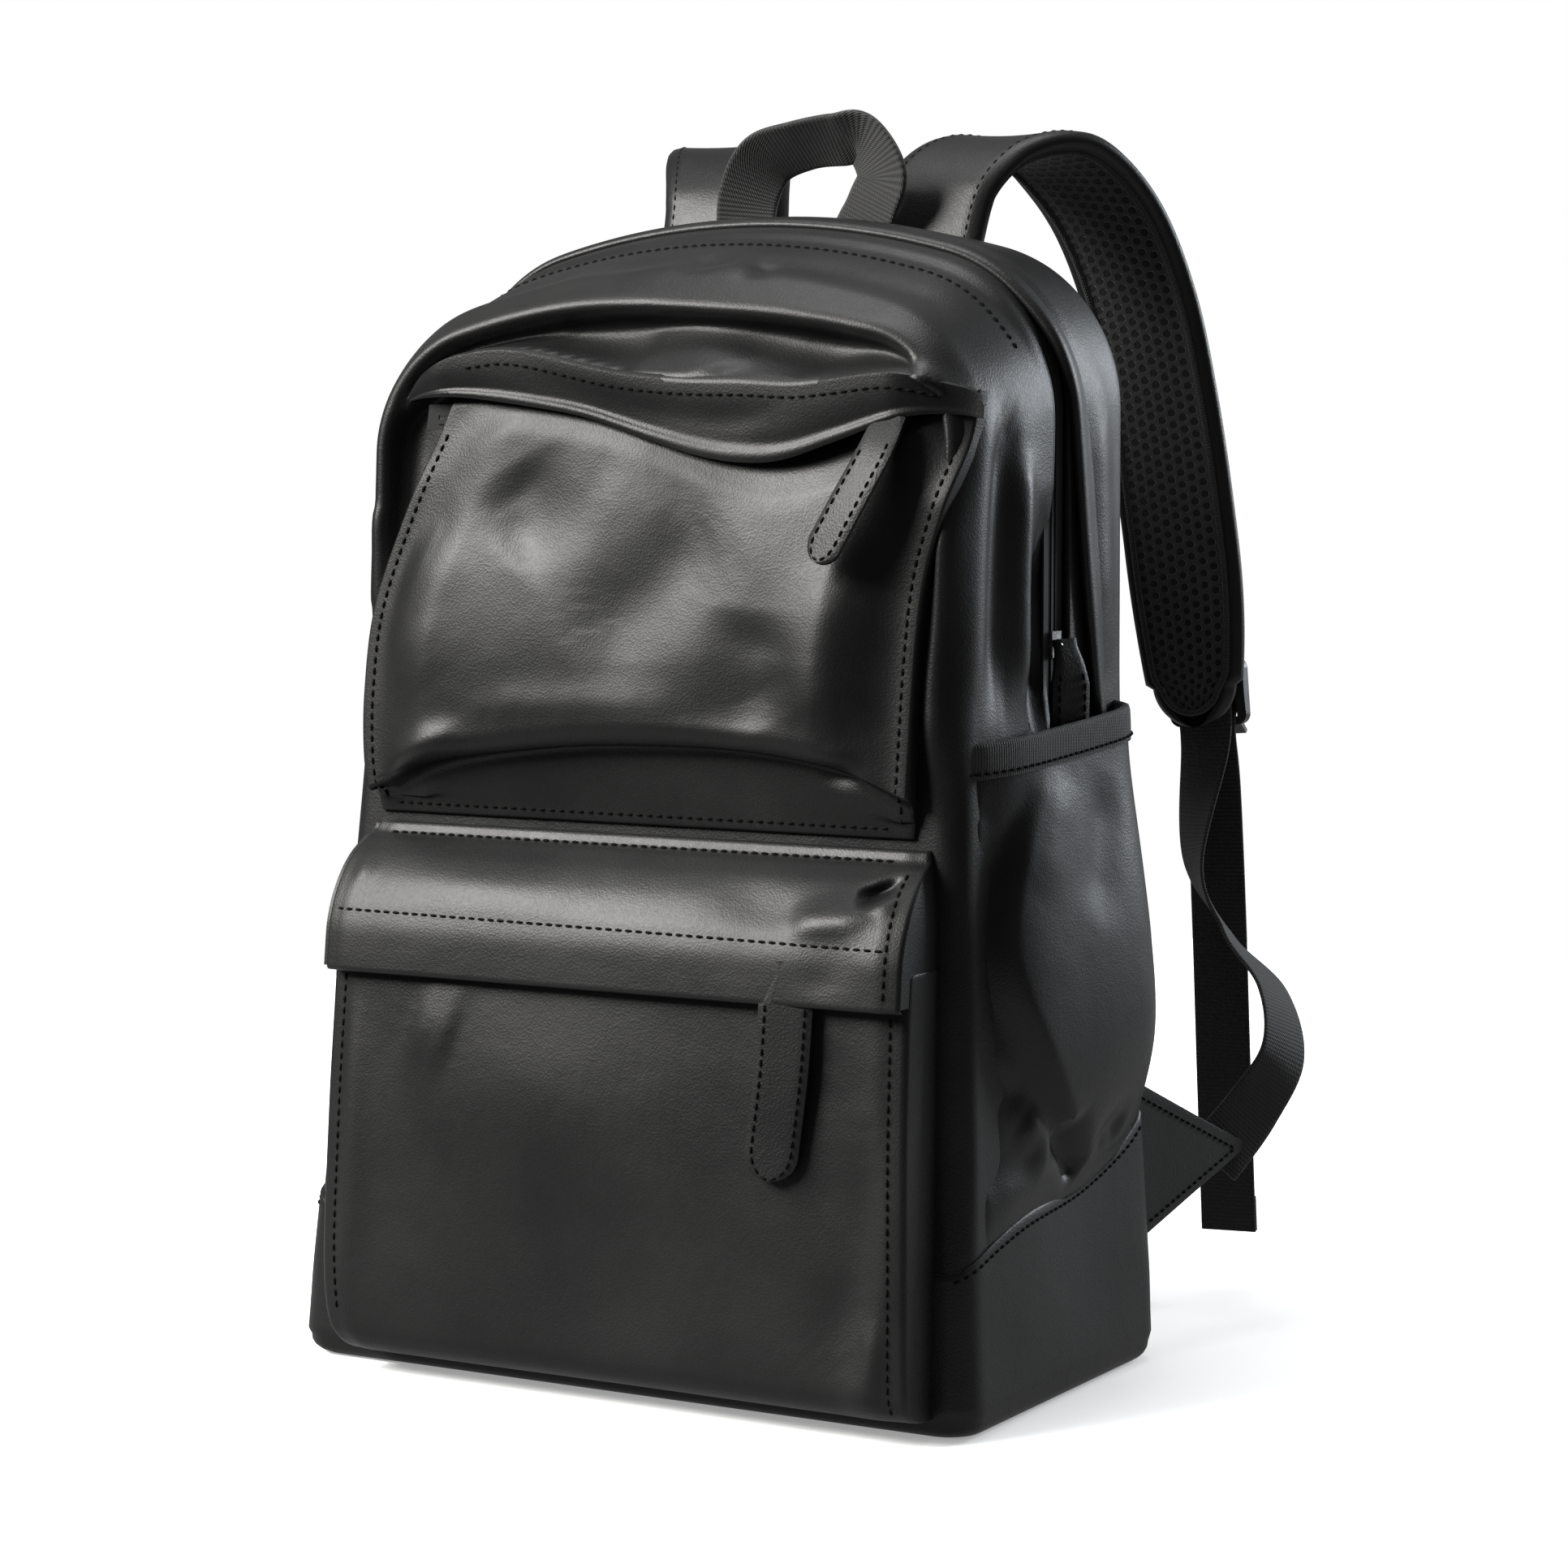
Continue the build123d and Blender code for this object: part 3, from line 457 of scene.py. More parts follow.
def resample(points: Array, count: int) -> Array:
    """Evenly spaced points along a polyline.

    Args:
        points: the polyline, one row for each point.
        count: how many points to return.

    Returns:
        The new points.
    """
    steps = np.r_[0, np.cumsum(np.linalg.norm(np.diff(points, axis=0), axis=1))]
    return read_at(np.linspace(0, steps[-1], count), steps, points)


def smooth_path(points: Array | list | tuple, count: int) -> Array:
    """A smooth curve through the points, evenly resampled.

    Args:
        points: the points to pass through.
        count: how many points to return.

    Returns:
        The points of the curve.
    """
    p = np.asarray(points, float)
    p = np.vstack([2 * p[0] - p[1], p, 2 * p[-1] - p[-2]])
    fine = []
    for i in range(1, len(p) - 2):
        t = np.linspace(0, 1, 24, endpoint=False)[:, None]
        a, b, c, d = p[i - 1], p[i], p[i + 1], p[i + 2]
        fine.append(0.5 * (2 * b + (c - a) * t + (2 * a - 5 * b + 4 * c - d) * t ** 2
                           + (3 * b - a - 3 * c + d) * t ** 3))
    fine.append(p[-2:-1])
    return resample(np.vstack(fine), count)


class Look(Enum):
    """The side that a flat drawing is seen from, as the two axes that it is drawn in."""

    FRONT = (0, 2)
    RIGHT = (1, 2)
    TOP = (0, 1)


@dataclass(frozen=True)
class Fold:
    """A soft ridge, or a valley where the rise is negative, along a path seen from one side.

    Attributes:
        path: points of the drawing, in metres.
        width: half width of the fold.
        rise: height at its middle.
        look: the side that it is drawn from.
        fade: share of the length over which each end dies away.
    """

    path: Knots
    width: float
    rise: float
    look: Look = Look.FRONT
    fade: float = 0.3

    def height(self, points: Array) -> Array:
        """Rise at each point of a surface.

        Args:
            points: points of the surface.

        Returns:
            The rise, in metres.
        """
        flat = points[..., list(self.look.value)]
        line = smooth_path(self.path, 40) if len(self.path) > 2 else resample(np.array(self.path), 20)
        away = np.linalg.norm(flat[..., None, :] - line, axis=-1)
        nearest = away.argmin(axis=-1)
        place = nearest / (len(line) - 1)
        ends = ease(np.minimum(place, 1 - place) / self.fade + 0.15) if self.fade else 1.0
        return self.rise * np.exp(-(away.min(axis=-1) / self.width) ** 2) * ends


def creased(folds: tuple[Fold, ...], points: Array) -> Array:
    """Rise of all the folds together at each point."""
    return sum(fold.height(points) for fold in folds)


class Surface:
    """A grid of points that can be turned, raised and rounded at its border."""

    BORDER_TURNS = (0.52, 1.05, pi / 2)

    def __init__(self, points: Array) -> None:
        """Takes rows by columns of points."""
        self.points = points

    def normals(self) -> Array:
        """Unit normals of the grid."""
        return unit(np.cross(np.gradient(self.points, axis=1), np.gradient(self.points, axis=0)))

    def facing(self, middle: Point) -> "Surface":
        """The same surface with its normals turned away from a point."""
        outward = (self.normals() * (self.points - np.array(middle))).sum(axis=-1).mean()
        return self if outward > 0 else Surface(self.points[:, ::-1])

    def raised(self, height: Array | float) -> "Surface":
        """Moved along its own normals."""
        lift = np.broadcast_to(np.asarray(height, float), self.points.shape[:2])
        return Surface(self.points + self.normals() * lift[..., None])

    def rimmed(self, radius: float, depth: float, inward: Point) -> "Surface":
        """Rounds all four borders over and turns them down.

        Args:
            radius: radius of the rounded border.
            depth: height of the wall below it; none where this is zero.
            inward: direction down into the bag.

        Returns:
            The surface with its walls.
        """
        down, points = np.array(inward, float), self.points
        for axis in (0, 1):
            grid = points if axis == 0 else points.transpose(1, 0, 2)
            ends = []
            for line, following in ((grid[0], grid[1]), (grid[-1], grid[-2])):
                out = unit(line - following)
                steps = [line + out * radius * sin(a) + down * radius * (1 - cos(a)) for a in self.BORDER_TURNS]
                if depth:
                    steps.append(steps[-1] + down * depth)
                ends.append(np.array(steps))
            grid = np.concatenate([ends[0][::-1], grid, ends[1]])
            points = grid if axis == 0 else grid.transpose(1, 0, 2)
        return Surface(points)

    def uv(self) -> Array:
        """Distance along the rows and along the columns, in metres.

        Returns:
            U and V of each point.
        """
        across = np.linalg.norm(np.diff(self.points, axis=1), axis=-1).mean(axis=0)
        along = np.linalg.norm(np.diff(self.points, axis=0), axis=-1).mean(axis=1)
        u, v = np.r_[0, np.cumsum(across)], np.r_[0, np.cumsum(along)]
        return np.stack(np.meshgrid(u, v), axis=-1)


class Piece:
    """A mesh under construction, made of one or more grids welded together."""

    BEVEL_STEPS, BEVEL_ANGLE = 3, radians(55)

    def __init__(self, name: str, finish: Finish) -> None:
        """Starts an empty piece.

        Args:
            name: name of the piece.
            finish: its finish.
        """
        self.name, self.finish = name, finish
        self.points: list[Array] = []
        self.faces: list[list[int]] = []
        self.uvs: list[Array] = []
        self.count = 0

    def grid(self, surface: Surface, closed: bool = False) -> "Piece":
        """Adds a grid of quads; closed joins its last column to its first.

        Args:
            surface: the grid.
            closed: whether its last column joins its first.

        Returns:
            The piece itself.
        """
        rows, columns = surface.points.shape[:2]
        index = np.arange(rows * columns).reshape(rows, columns) + self.count
        if closed:
            index = np.c_[index, index[:, :1]]
        quads = np.stack([index[:-1, :-1], index[:-1, 1:], index[1:, 1:], index[1:, :-1]], axis=-1).reshape(-1, 4)
        self.points.append(surface.points.reshape(-1, 3))
        self.faces.extend(quads.tolist())
        self.uvs.append(surface.uv().reshape(-1, 2))
        self.count += rows * columns
        return self

    def build(self, thick: float = 0.0, weld: float = 0.0, inner: Finish | None = None, bevel: float = 0.0,
              smooth: float = 50.0) -> Object:
        """Makes the object.

        Args:
            thick: thickness added on the inner side.
            weld: distance below which points of neighbouring grids merge.
            inner: finish of the inner side of a thick piece.
            bevel: rounding of the free edges of a thick piece.
            smooth: angle in degrees above which edges stay sharp.

        Returns:
            The finished object, with its modifiers applied.
        """
        mesh = bpy.data.meshes.new(self.name)
        mesh.from_pydata(np.vstack(self.points).tolist(), [], self.faces)
        lay_out(mesh, np.vstack(self.uvs))
        for finish in (self.finish, inner or self.finish):
            mesh.materials.append(finish.material())
        if weld:
            work = bmesh.new()
            work.from_mesh(mesh)
            bmesh.ops.remove_doubles(work, verts=work.verts, dist=weld)
            work.to_mesh(mesh)
            work.free()
        piece = bpy.data.objects.new(self.name, mesh)
        bpy.context.scene.collection.objects.link(piece)
        if thick:
            solid = piece.modifiers.new("thick", "SOLIDIFY")
            solid.thickness, solid.offset, solid.material_offset = thick, -1.0, 1 if inner else 0
            solid.use_even_offset = False
        if bevel:
            edge = piece.modifiers.new("edge", "BEVEL")
            edge.width, edge.segments = bevel, self.BEVEL_STEPS
            edge.limit_method, edge.angle_limit = "ANGLE", self.BEVEL_ANGLE
        if piece.modifiers:
            apply_modifiers(piece)
        piece.data.shade_smooth()
        piece.data.set_sharp_from_angle(angle=radians(smooth))
        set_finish(piece, self.finish.slot)
        return piece


def lay_out(mesh: bpy.types.Mesh, uv: Array) -> None:
    """Lays a mesh's texture out by a place for each of its points.

    Args:
        mesh: the mesh.
        uv: U and V of each point.
    """
    loops = np.zeros(len(mesh.loops), int)
    mesh.loops.foreach_get("vertex_index", loops)
    mesh.uv_layers.new(name="UV").data.foreach_set("uv", uv[loops].ravel())


def apply_modifiers(piece: Object) -> None:
    """Makes a piece's evaluated mesh its own.

    Args:
        piece: the piece.
    """
    bpy.context.view_layer.update()
    done = bpy.data.meshes.new_from_object(piece.evaluated_get(bpy.context.evaluated_depsgraph_get()))
    piece.modifiers.clear()
    piece.data = done


def tree_of(piece: Object) -> BVHTree:
    """A search tree of a finished piece."""
    mesh = piece.data
    return BVHTree.FromPolygons([v.co[:] for v in mesh.vertices], [p.vertices[:] for p in mesh.polygons])


def nearest_on(tree: BVHTree, path: Array) -> tuple[Array, Array]:
    """The nearest points on a surface to the points of a path, and the surface's normals there."""
    found = [tree.find_nearest(Vector(spot)) for spot in path]
    return np.array([hit[0][:] for hit in found]), np.array([hit[1][:] for hit in found])


def laid_on(tree: BVHTree, path: list) -> tuple[Array, Array]:
    """Points and normals where a line drawn from the front falls on a surface.

    Args:
        tree: the surface.
        path: points of the drawing, as X and height.

    Returns:
        The points and their normals, turned to the front.
    """
    way, points, normals = Vector((0, 1, 0)), [], []
    for x, z in smooth_path(path, 400):
        hit, normal, _, _ = tree.ray_cast(Vector((x, -1, z)), way)
        if hit is not None:
            points.append(hit[:])
            normals.append((normal if normal.dot(way) < 0 else -normal)[:])
    return np.array(points), np.array(normals)


# ---- trims --------------------------------------------------------------------------------------
@dataclass(frozen=True)
class Stitching:
    """A row of sewn stitches, each a short thread with rings at shares of its length, with their girth and lift.

    Attributes:
        pitch: distance from one stitch to the next.
        length: length of a stitch.
        thread: its half thickness.
    """

    SIDES = 5
    RINGS = ((0, 0.15, -0.6), (0.12, 0.8, 0.1), (0.5, 1.0, 0.55), (0.88, 0.8, 0.1), (1, 0.15, -0.6))

    pitch: float = 0.0044
    length: float = 0.0033
    thread: float = 0.00058

    def sew(self, name: str, body: str, points: Array, normals: Array) -> Object:
        """Lays stitches along points that lie on a surface.

        Args:
            name: name of the row.
            body: the body that it rides on.
            points: the path.
            normals: the surface's normal at each point.

        Returns:
            The row of stitches as one mesh.
        """
        steps = np.r_[0, np.cumsum(np.linalg.norm(np.diff(points, axis=0), axis=1))]
        middles = np.arange(self.pitch / 2, steps[-1] - self.pitch / 2, self.pitch)
        first, last = (read_at(middles + shift, steps, points) for shift in (-self.length / 2, self.length / 2))
        up = unit(read_at(middles, steps, normals))
        side = unit(np.cross(last - first, up))
        piece = Piece(name, THREAD)
        ring = [(cos(a), sin(a)) for a in np.arange(self.SIDES) * 2 * pi / self.SIDES]
        for i in range(len(middles)):
            rows = []
            for share, girth, lift in self.RINGS:
                spot = first[i] * (1 - share) + last[i] * share + up[i] * lift * self.thread
                rows.append([spot + (side[i] * c + up[i] * s) * self.thread * girth for c, s in ring])
            piece.grid(Surface(np.array(rows)), closed=True)
        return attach(piece.build(smooth=180), body)


@dataclass(frozen=True)
class Ribbon:
    """A flat strap of webbing swept along a path.

    Attributes:
        width: full width.
        thick: full thickness.
    """

    width: float
    thick: float

    def frames(self, path: Array, across: Array) -> tuple[Array, Array]:
        """Width and outward directions, square to the path.

        Args:
            path: the middle line.
            across: roughly the width direction at each point.

        Returns:
            Both directions at each point.
        """
        tangent = unit(np.gradient(path, axis=0))
        side = unit(across - tangent * (across * tangent).sum(axis=1, keepdims=True))
        return side, np.cross(tangent, side)

    def sweep(self, name: str, path: Array, across: Array) -> Object:
        """Builds the strap.

        Args:
            name: name of the piece.
            path: the middle line.
            across: the width direction at each point.

        Returns:
            The strap with closed, rounded edges.
        """
        side, out = self.frames(path, across)
        half, t = self.width / 2, self.thick / 2
        spots = [(-1, -0.5), (-0.97, -1), *[(x, -1) for x in np.linspace(-0.85, 0.85, 9)], (0.97, -1), (1, -0.5),
                 (1, 0.5), (0.97, 1), *[(x, 1) for x in np.linspace(0.85, -0.85, 9)], (-0.97, 1), (-1, 0.5)]
        rows = [[spot + wide * x * half + up * (y * t) for x, y in spots] for spot, wide, up in zip(path, side, out)]
        return Piece(name, WEBBING).grid(Surface(closed_off(path, np.array(rows), 0.02)), closed=True).build(smooth=60)


def closed_off(path: Array, rows: Array, share: float) -> Array:
    """Rows of a tube with its two ends drawn in to a share of their size."""
    return np.array([path[0] + (rows[0] - path[0]) * share, *rows, path[-1] + (rows[-1] - path[-1]) * share])


def cord_round(name: str, path: Array, radius: float, normals: Array) -> Object:
    """A round piping cord along a path.

    Args:
        name: name of the piece.
        path: the middle line.
        radius: radius of the cord.
        normals: a direction that isn't along the path, at each point.

    Returns:
        The cord.
    """
    tangent = unit(np.gradient(path, axis=0))
    side = unit(np.cross(tangent, normals))
    up = np.cross(side, tangent)
    angles = np.arange(10) * 2 * pi / 10
    rows = path[:, None] + radius * (np.cos(angles)[None, :, None] * side[:, None]
                                     + np.sin(angles)[None, :, None] * up[:, None])
    return Piece(name, BINDING).grid(Surface(closed_off(path, rows, 0.1)), closed=True).build(smooth=180)


# ---- the bag's form -----------------------------------------------------------------------------
def through(knots: Knots | list, values: Array) -> Array:
    """A smooth curve through knots, read at given values."""
    line = smooth_path(knots, 240)
    return np.interp(values, line[:, 0], line[:, 1])


@dataclass(frozen=True)
class BagForm:
    """Outline of the soft bag: an arched front that leans back, an upright back, sides that flare to the base.

    Attributes:
        base_half: half width on the floor.
        half_depth: half depth on the floor.
        crest: height of the arch at the break line.
        side_half: half width above the flare.
        flare_top: height at which the sides stop flaring.
        lean: how far the front leans back for each metre of height.
        arch: radius of the top.
        front_crest: height of the front panel.
        corner: radius of the top corners.
        front_corner: radius of the front panel's top corners.
        break_y: depth at which the top stops rising.
        foot: height at which the panels disappear into the boot.
        bend: height over which the flare sets in.
        back_drop: how much lower the back's arch is than the crest.
    """

    base_half: float
    half_depth: float
    crest: float
    side_half: float = 0.1335
    flare_top: float = 0.25
    lean: float = 0.04 / 0.45
    arch: float = 0.33
    front_crest: float = 0.4245
    corner: float = 0.066
    front_corner: float = 0.056
    break_y: float = 0.04
    foot: float = 0.03
    bend: float = 0.018
    back_drop: float = 0.002

    @classmethod
    def measured(cls) -> "BagForm":
        """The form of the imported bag.

        Returns:
            The form.
        """
        _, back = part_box("back_panel")
        _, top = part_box("rear_gusset")
        return cls(base_half=back.x + 0.0006, half_depth=back.y + 0.0002, crest=top.z + 0.0004)

    def side_x(self, z: Array) -> Array:
        """Half width at a height, with a soft bend where the flare starts."""
        flare = np.logaddexp(0, (self.flare_top - np.asarray(z, float)) / self.bend) * self.bend
        return self.side_half + (self.base_half - self.side_half) / self.flare_top * flare

    def front_y(self, z: Array) -> Array:
        """Depth of the leaning front at a height."""
        return -self.half_depth + self.lean * np.asarray(z, float)

    def outline(self, crest: float, corner: float) -> Array:
        """Outline seen from the front, from the right foot over the crown to the left foot.

        Args:
            crest: height of the crown.
            corner: radius of the corners.

        Returns:
            X and Z of each point; every outline has the same count.
        """
        low = crest - self.arch
        x = self.side_half - corner
        z = low + sqrt((self.arch - corner) ** 2 - x ** 2)
        turn = atan2(z - low, x)
        heights = np.r_[np.linspace(self.foot, self.flare_top, 70)[:-1], np.linspace(self.flare_top, z, 36)[:-1]]
        bend, top = np.linspace(0, turn, 32)[:-1], np.linspace(turn, pi / 2, 48)
        half = np.vstack([
            np.stack([self.side_x(heights), heights], 1),
            np.stack([x + corner * np.cos(bend), z + corner * np.sin(bend)], 1),
            np.stack([self.arch * np.cos(top), low + self.arch * np.sin(top)], 1)])
        return np.vstack([half, half[-2::-1] * (-1, 1)])

    def front(self) -> Array:
        """Outline of the front panel."""
        return self.outline(self.front_crest, self.front_corner)

    def ring(self, y: Array | float) -> Array:
        """Points of the bag's outline at a depth, or at a depth for each point.

        Args:
            y: the depth.

        Returns:
            X, Y and Z of each point of the outline.
        """
        front, middle = self.front(), self.outline(self.crest, self.corner)
        back = self.outline(self.crest - self.back_drop, self.corner)
        y = np.broadcast_to(np.asarray(y, float), len(front))
        start = self.front_y(front[:, 1])
        first = np.clip((y - start) / (self.break_y - start), 0, 1)[:, None]
        second = np.clip((y - self.break_y) / (self.half_depth - self.break_y), 0, 1)[:, None]
        flat = front + (middle - front) * first + (back - middle) * second
        return np.stack([flat[:, 0], y, flat[:, 1]], 1)

    def inward(self) -> Array:
        """Unit direction into the bag, square to the front outline, at each of its points."""
        tangent = unit(np.gradient(self.front(), axis=0))
        return np.stack([-tangent[:, 1], np.zeros(len(tangent)), tangent[:, 0]], 1)

    def inset(self, points: Array) -> Array:
        """Distance of points from the front outline, seen from the front.

        Args:
            points: points on or near the front.

        Returns:
            The distances.
        """
        line = self.front()
        flat = points[..., [0, 2]].reshape(-1, 2)
        away = np.concatenate([np.linalg.norm(part[:, None] - line, axis=-1).min(axis=1)
                               for part in np.array_split(flat, max(1, len(flat) // 4000))])
        return away.reshape(points.shape[:-1])

    def on_front(self, x: Array, z: Array, proud: Array | float = 0.0) -> Array:
        """Points that stand off the leaning front."""
        x, z, proud = np.broadcast_arrays(np.asarray(x, float), np.asarray(z, float), np.asarray(proud, float))
        return np.stack([x, self.front_y(z) - proud, z], axis=-1)


@dataclass(frozen=True)
class Relief:
    """How the soft front and sides swell, sag and crease.

    Attributes:
        form: the bag's form.
        front: folds of the front, seen from the front.
        sides: folds of the side panels, seen from the right and mirrored to the left.
        hood_root: line along which the hood grows out of the front, as X and height.
        hood_crease: line of the crease at which the hood turns down, the same way.
        facet: dents in the slope between the two.
        top: folds of the top in front of the zip, seen from above.
        roll: height of the front across its rolled rim, by the distance from the outline.
        reach: how far the crease stands out.
    """

    form: BagForm
    front: tuple[Fold, ...] = (
        Fold(((0.131, 0.352), (0.126, 0.31), (0.124, 0.27), (0.126, 0.232)), 0.0085, 0.0062),
        Fold(((-0.098, 0.231), (-0.05, 0.238), (0.01, 0.24), (0.06, 0.238), (0.1, 0.231)), 0.011, -0.0012,
             fade=0.2),
        Fold(((-0.128, 0.34), (-0.131, 0.29)), 0.006, 0.0026),
        Fold(((0.137, 0.2), (0.141, 0.12), (0.146, 0.065)), 0.005, -0.002),
    )
    sides: tuple[Fold, ...] = (
        Fold(((-0.04, 0.395), (-0.048, 0.33), (-0.05, 0.262)), 0.01, 0.003, Look.RIGHT),
        Fold(((-0.024, 0.38), (-0.032, 0.32), (-0.034, 0.255)), 0.009, -0.0045, Look.RIGHT),
        Fold(((-0.01, 0.36), (-0.014, 0.31), (-0.012, 0.262)), 0.007, 0.003, Look.RIGHT),
        Fold(((0.01, 0.345), (0.007, 0.3), (0.004, 0.262), (0.002, 0.235)), 0.01, -0.0075, Look.RIGHT, 0.4),
        Fold(((0.05, 0.395), (0.054, 0.34), (0.06, 0.27)), 0.012, 0.003, Look.RIGHT, 0.4),
    )
    hood_root: Knots = (
        (-0.14, 0.36), (-0.12, 0.38), (-0.098, 0.3965), (-0.05, 0.405), (0.0, 0.407), (0.03, 0.407), (0.06, 0.404),
        (0.09, 0.4005), (0.112, 0.3955), (0.126, 0.389), (0.138, 0.38), (0.15, 0.355))
    hood_crease: Knots = (
        (-0.14, 0.35), (-0.113, 0.38), (-0.095, 0.3905), (-0.08, 0.395), (-0.0565, 0.3962), (-0.014, 0.388),
        (0.018, 0.3848), (0.045, 0.3842), (0.065, 0.3832), (0.08, 0.3842), (0.1056, 0.3866), (0.124, 0.383),
        (0.137, 0.3765), (0.15, 0.35))
    facet: tuple[Fold, ...] = (
        Fold(((0.03, 0.41), (0.03, 0.398), (0.032, 0.387)), 0.014, 0.0034, fade=0.15),
        Fold(((-0.046, 0.408), (-0.026, 0.4), (-0.004, 0.392)), 0.014, -0.004, fade=0.2),
        Fold(((0.072, 0.404), (0.074, 0.396), (0.076, 0.388)), 0.013, -0.004, fade=0.2),
    )
    top: tuple[Fold, ...] = (
        Fold(((-0.05, -0.04), (-0.046, -0.014)), 0.012, 0.0008, Look.TOP, 0.4),
        Fold(((-0.012, -0.04), (-0.006, -0.02), (-0.01, -0.006)), 0.009, 0.0011, Look.TOP, 0.4),
        Fold(((0.006, -0.04), (0.01, -0.016)), 0.007, -0.0009, Look.TOP, 0.4),
        Fold(((0.022, -0.042), (0.022, -0.022), (0.018, -0.008)), 0.009, 0.0011, Look.TOP, 0.4),
        Fold(((0.034, -0.042), (0.034, -0.02)), 0.005, -0.0018, Look.TOP, 0.4),
        Fold(((-0.13, -0.024), (0.0, -0.022), (0.13, -0.024)), 0.009, -0.0016, Look.TOP, 0.0),
    )
    roll: Knots = (
        (-0.01, 0.0004), (0.0, 0.0014), (0.004, 0.0042), (0.0075, 0.0062), (0.01, 0.0058), (0.0122, 0.0022),
        (0.0145, -0.0034), (0.018, -0.0062), (0.024, -0.0068), (0.036, -0.0042), (0.054, -0.0006), (0.072, 0.0),
        (0.4, 0.0))
    reach: float = 0.016

    def rise(self, points: Array) -> Array:
        """Height of the front's relief at each point.

        Args:
            points: points of the front.

        Returns:
            The heights.
        """
        z = points[..., 2]
        held = ease((z - 0.268) / 0.1)
        x = points[..., 0]
        sag = 0.0036 * np.exp(-((x - 0.022) / 0.05) ** 2) - 0.0024 * np.exp(-((x - 0.115) / 0.024) ** 2)
        rolled = through(self.roll, self.form.inset(points) - sag) * held
        swell, share = self.swelling(x, z)
        cut = creased(self.facet, points) * self.taper(x)
        rolled = np.maximum(rolled, 0) + np.minimum(rolled, 0) * (1 - share)
        return rolled + swell + cut * share + creased(self.front, points)

    @staticmethod
    def taper(x: Array) -> Array:
        """How fully the hood stands out, dying away at both of its ends."""
        return ease((x + 0.124) / 0.034) * ease((0.1385 - x) / 0.034)

    def swelling(self, x: Array, z: Array) -> tuple[Array, Array]:
        """The slope above the hood, out to its crease.

        Args:
            x: width position.
            z: height.

        Returns:
            How far the leather stands out, and how far down the slope each point is, from 0 to 1.
        """
        root, crease = through(self.hood_root, x), through(self.hood_crease, x)
        share = np.clip((root - z) / (root - crease), 0, 1)
        under = ease(1 - (crease - z) / 0.008)
        power = 1.0 + 2.4 * (1 - np.exp(-((x - 0.016) / 0.036) ** 2))
        return self.reach * self.taper(x) * share ** power * under, share * under

    def press(self, points: Array) -> Array:
        """Moves the points of the bag's shell.

        Args:
            points: points of the smooth shell.

        Returns:
            The same points with the leather's relief.
        """
        form = self.form
        moved = points.copy()
        behind = points[..., 1] - form.front_y(points[..., 2])
        moved[..., 1] -= self.rise(points) * ease(1 - behind / 0.014)
        beside = form.side_x(points[..., 2]) - np.abs(points[..., 0])
        aside = creased(self.sides, points) + self.swell(points)
        moved[..., 0] += np.sign(points[..., 0]) * aside * ease(1 - beside / 0.016) * ease(behind / 0.03)
        above = creased(self.top, points)
        moved[..., 2] += above * ease((points[..., 2] - 0.405) / 0.015) * ease(behind / 0.01)
        return moved

    def swell(self, points: Array) -> Array:
        """Slow outward curve of the side panels."""
        y, z = points[..., 1], points[..., 2]
        return 0.0022 * np.cos(np.clip(y / self.form.half_depth, -1, 1) * pi / 2) * ease((z - 0.05) / 0.1)


